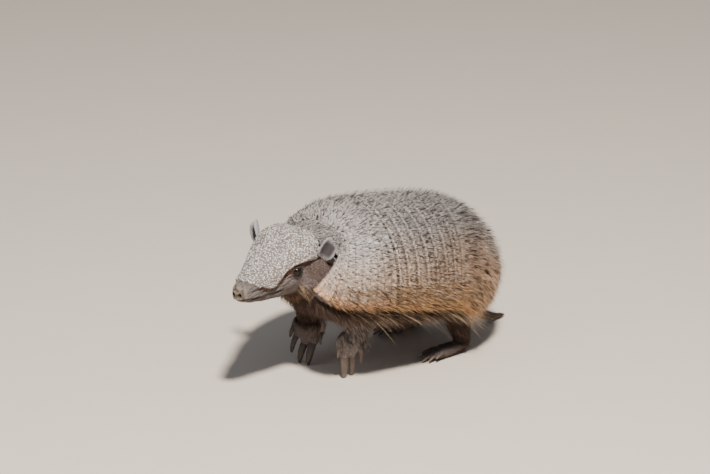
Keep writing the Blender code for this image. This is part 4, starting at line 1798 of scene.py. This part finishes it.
class ArmadilloSizes(PropertyGroup):
    coat_depth: length_property(
        "Coat depth", "How far the plates lie inside the packed solids", 1.8, 0.5, 4.0
    )
    relief: FloatProperty(
        name="Scute relief", description="Height of the scutes, as a share of the usual height",
        default=1.0, min=0.0, max=2.0, subtype="FACTOR",
    )
    voxel: length_property("Skin grain", "Edge of one cell of the skin's mesh", 1.35, 0.8, 4.0)
    bristle_length: length_property(
        "Bristle length", "Usual length of a bristle on the shell", 6.5, 1.0, 20.0
    )
    bristle_width: length_property("Bristle width", "Width of a bristle at its root", 0.44, 0.1, 1.2)
    bristle_spacing: length_property(
        "Bristle spacing", "Distance between the roots of neighbouring tufts", 1.75, 1.0, 8.0
    )
    seed: IntProperty(
        name="Seed", description="Start of the steady random draws that place the hairs", default=7, min=0
    )


class ArmadilloColours(PropertyGroup):
    shoulder: colour_property("Shoulder", "Horn of the shoulder shield", (0.37, 0.335, 0.32))
    back: colour_property("Back", "Horn along the top of the back", (0.215, 0.195, 0.188))
    flank: colour_property("Flank", "Horn on the lower flanks", (0.36, 0.235, 0.155))
    rim: colour_property("Rim", "Marginal scutes", (0.47, 0.225, 0.09))
    head_plate: colour_property("Head shield", "Horn of the head shield", (0.50, 0.46, 0.44))
    worn_horn: colour_property("Worn horn", "Crowns and edges that are rubbed pale", (0.72, 0.67, 0.63))
    groove: colour_property("Grooves", "Dirt between the scutes", (0.07, 0.05, 0.04))
    belly: colour_property("Belly", "Skin under the shell", (0.17, 0.10, 0.07))
    leg: colour_property("Leg", "Skin of the legs", (0.065, 0.048, 0.041))
    paw: colour_property("Paw", "Scaly skin of the feet", (0.27, 0.225, 0.21))
    cheek: colour_property("Cheek", "Skin of the cheeks", (0.225, 0.18, 0.175))
    snout: colour_property("Snout", "Bare skin of the snout", (0.16, 0.135, 0.125))
    mud: colour_property("Mud", "Dried mud on the nose", (0.075, 0.055, 0.028))
    nose: colour_property("Nose", "Skin of the nose pad", (0.20, 0.16, 0.14))
    ear: colour_property("Ear", "Skin of the ears", (0.30, 0.28, 0.295))
    # Rust skin of the lids, also used as painted shade on the cheek and under and along the head shield's
    # rim.
    lid: colour_property("Lid", "Skin round the eyes and under the head shield", (0.22, 0.10, 0.055))
    # Painted shade: the near black laid into creases, openings and hollows.
    fold: colour_property("Folds", "Dark creases and openings", (0.02, 0.014, 0.012))
    tail: colour_property("Tail", "Skin of the tail", (0.20, 0.135, 0.105))
    claw: colour_property("Claw", "Horn of the claws", (0.11, 0.08, 0.065))
    claw_root: colour_property("Claw root", "Dirty root of the claws", (0.035, 0.025, 0.021))
    iris: colour_property("Iris", "Ring in the eye", (0.018, 0.010, 0.006))
    pale_hair: colour_property("Pale bristles", "Tips of the bristles on the back", (0.82, 0.77, 0.72))
    gold_hair: colour_property("Golden bristles", "Bristles of the rim and the rump", (0.70, 0.43, 0.20))
    guard_hair: colour_property("Guard hairs", "Long hairs of rim and cheeks", (0.78, 0.60, 0.40))
    leg_hair: colour_property("Leg hair", "Tips of the hair of the forelegs", (0.52, 0.46, 0.43))
    rust_hair: colour_property("Throat hair", "Rusty hair of the throat and chest", (0.30, 0.155, 0.07))
    dark_hair: colour_property("Dark hair", "Roots of all bristles, and leg hair", (0.05, 0.032, 0.024))
    floor: colour_property("Floor", "Studio floor", (0.68, 0.595, 0.51))


def steady(offset):
    """A seeded source of random draws for one operator."""
    return random.Random(settings().seed * 100 + offset)


class ARMADILLO_OT_stage(Operator):
    """Adds the floor, lamps, sky and camera"""
    bl_idname = "armadillo.stage"
    bl_label = "Stage"

    def execute(self, context):
        make_stage()
        return {"FINISHED"}


class ARMADILLO_OT_skin(Operator):
    """Builds the one skin over all the flesh"""
    bl_idname = "armadillo.skin"
    bl_label = "Skin"

    def execute(self, context):
        make_skin(skin_finish())
        return {"FINISHED"}


class ARMADILLO_OT_plates(Operator):
    """Builds the head shield, neck plate, shoulder shield, bands and pelvic shield"""
    bl_idname = "armadillo.plates"
    bl_label = "Shell plates"

    def execute(self, context):
        head_shield(head_plate_finish())
        horn = plate_finish()
        nuchal_plate(horn)
        shell_plate("shoulder_shield", 0, SHOULDER_END, SHOULDER_ROWS, horn, False)
        pitch = (PELVIS_START - SHOULDER_END) / BAND_COUNT
        for number in range(BAND_COUNT):
            start = SHOULDER_END + number * pitch
            shell_plate(f"band_{number + 1}", start, start + pitch, 1, horn, True)
        shell_plate("pelvic_shield", PELVIS_START, REAR_EDGE, PELVIS_ROWS, horn, False)
        return {"FINISHED"}


class ARMADILLO_OT_eyes(Operator):
    """Builds both eyes"""
    bl_idname = "armadillo.eyes"
    bl_label = "Eyes"

    def execute(self, context):
        make_eyes(eye_finish())
        return {"FINISHED"}


class ARMADILLO_OT_claws(Operator):
    """Builds the twenty claws"""
    bl_idname = "armadillo.claws"
    bl_label = "Claws"

    def execute(self, context):
        make_claws(claw_finish())
        return {"FINISHED"}


class ARMADILLO_OT_bristles(Operator):
    """Plants the bristles of the shell and the fringe along its rim"""
    bl_idname = "armadillo.bristles"
    bl_label = "Shell bristles"

    def execute(self, context):
        dark = tint("dark_hair")
        silver = bristle_finish("bristle_silver", dark, tint("pale_hair"), dark, 0.22, 0.72)
        gold = bristle_finish("bristle_gold", dark, tint("gold_hair"), dark, 0.36, 0.3)
        draw = steady(1)
        for coat in (*shell_bristles(draw), nuchal_bristles(draw)):
            coat.build(silver, "shell")
        rim_fringe(steady(2)).build(gold, "shell")
        return {"FINISHED"}


class ARMADILLO_OT_hair(Operator):
    """Plants the hair of belly, legs, tail, neck and face"""
    bl_idname = "armadillo.hair"
    bl_label = "Hair"

    def execute(self, context):
        skin = bpy.data.objects.get("skin")
        if skin is None:
            raise RuntimeError("the skin has to be built before its hair")
        hide = Hide(skin)
        dark = tint("dark_hair")
        grey = bristle_finish("hair_grey", dark, tint("leg_hair"), dark, 0.4)
        rust = bristle_finish("hair_rust", dark, tint("rust_hair"), dark, 0.25)
        brown = bristle_finish("hair_brown", dark, tint("belly"), dark, 0.3)
        pale = bristle_finish("hair_pale", tint("belly"), tint("guard_hair"), tint("belly"), 0.15)
        draw = steady(3)
        belly_hair(hide, draw).build(brown, "hide")
        guard_hair(hide, draw).build(pale, "hide")
        for coat in limb_hair(hide, steady(4)):
            # The near foreleg and forefoot get grey hair and all other limbs brown; for the far foreleg and
            # forefoot that darker brown is painted shade.
            near = coat.name in ("hair_foreleg_left", "hair_forefoot_left")
            coat.build(grey if near else brown, "hide")
        tail_hair(hide, steady(5)).build(brown, "hide")
        draw = steady(6)
        face_hair(hide, draw).build(brown, "hide")
        cheek_hair(hide, draw).build(pale, "hide")
        neck_hair(hide, steady(7)).build(rust, "hide")
        return {"FINISHED"}


class ARMADILLO_PT_panel(Panel):
    """Lists the armadillo's pieces, sizes and colours"""
    bl_label = "Armadillo"
    bl_idname = "ARMADILLO_PT_panel"
    bl_space_type = "VIEW_3D"
    bl_region_type = "UI"
    bl_category = "Armadillo"

    def draw(self, context):
        for operator in OPERATORS:
            self.layout.operator(operator.bl_idname)
        for group in (context.scene.armadillo_sizes, context.scene.armadillo_colours):
            box = self.layout.box()
            for name in group.__annotations__:
                box.prop(group, name)


OPERATORS = (
    ARMADILLO_OT_stage,
    ARMADILLO_OT_skin,
    ARMADILLO_OT_plates,
    ARMADILLO_OT_eyes,
    ARMADILLO_OT_claws,
    ARMADILLO_OT_bristles,
    ARMADILLO_OT_hair,
)
CLASSES = (ArmadilloSizes, ArmadilloColours, *OPERATORS, ARMADILLO_PT_panel)


def register():
    for item in CLASSES:
        bpy.utils.register_class(item)
    bpy.types.Scene.armadillo_sizes = PointerProperty(type=ArmadilloSizes)
    bpy.types.Scene.armadillo_colours = PointerProperty(type=ArmadilloColours)


def unregister():
    del bpy.types.Scene.armadillo_colours
    del bpy.types.Scene.armadillo_sizes
    for item in reversed(CLASSES):
        bpy.utils.unregister_class(item)


def main():
    register()
    bpy.ops.armadillo.stage()
    bpy.ops.armadillo.skin()
    bpy.ops.armadillo.plates()
    bpy.ops.armadillo.eyes()
    bpy.ops.armadillo.claws()
    bpy.ops.armadillo.bristles()
    bpy.ops.armadillo.hair()


if __name__ == "__main__":
    main()
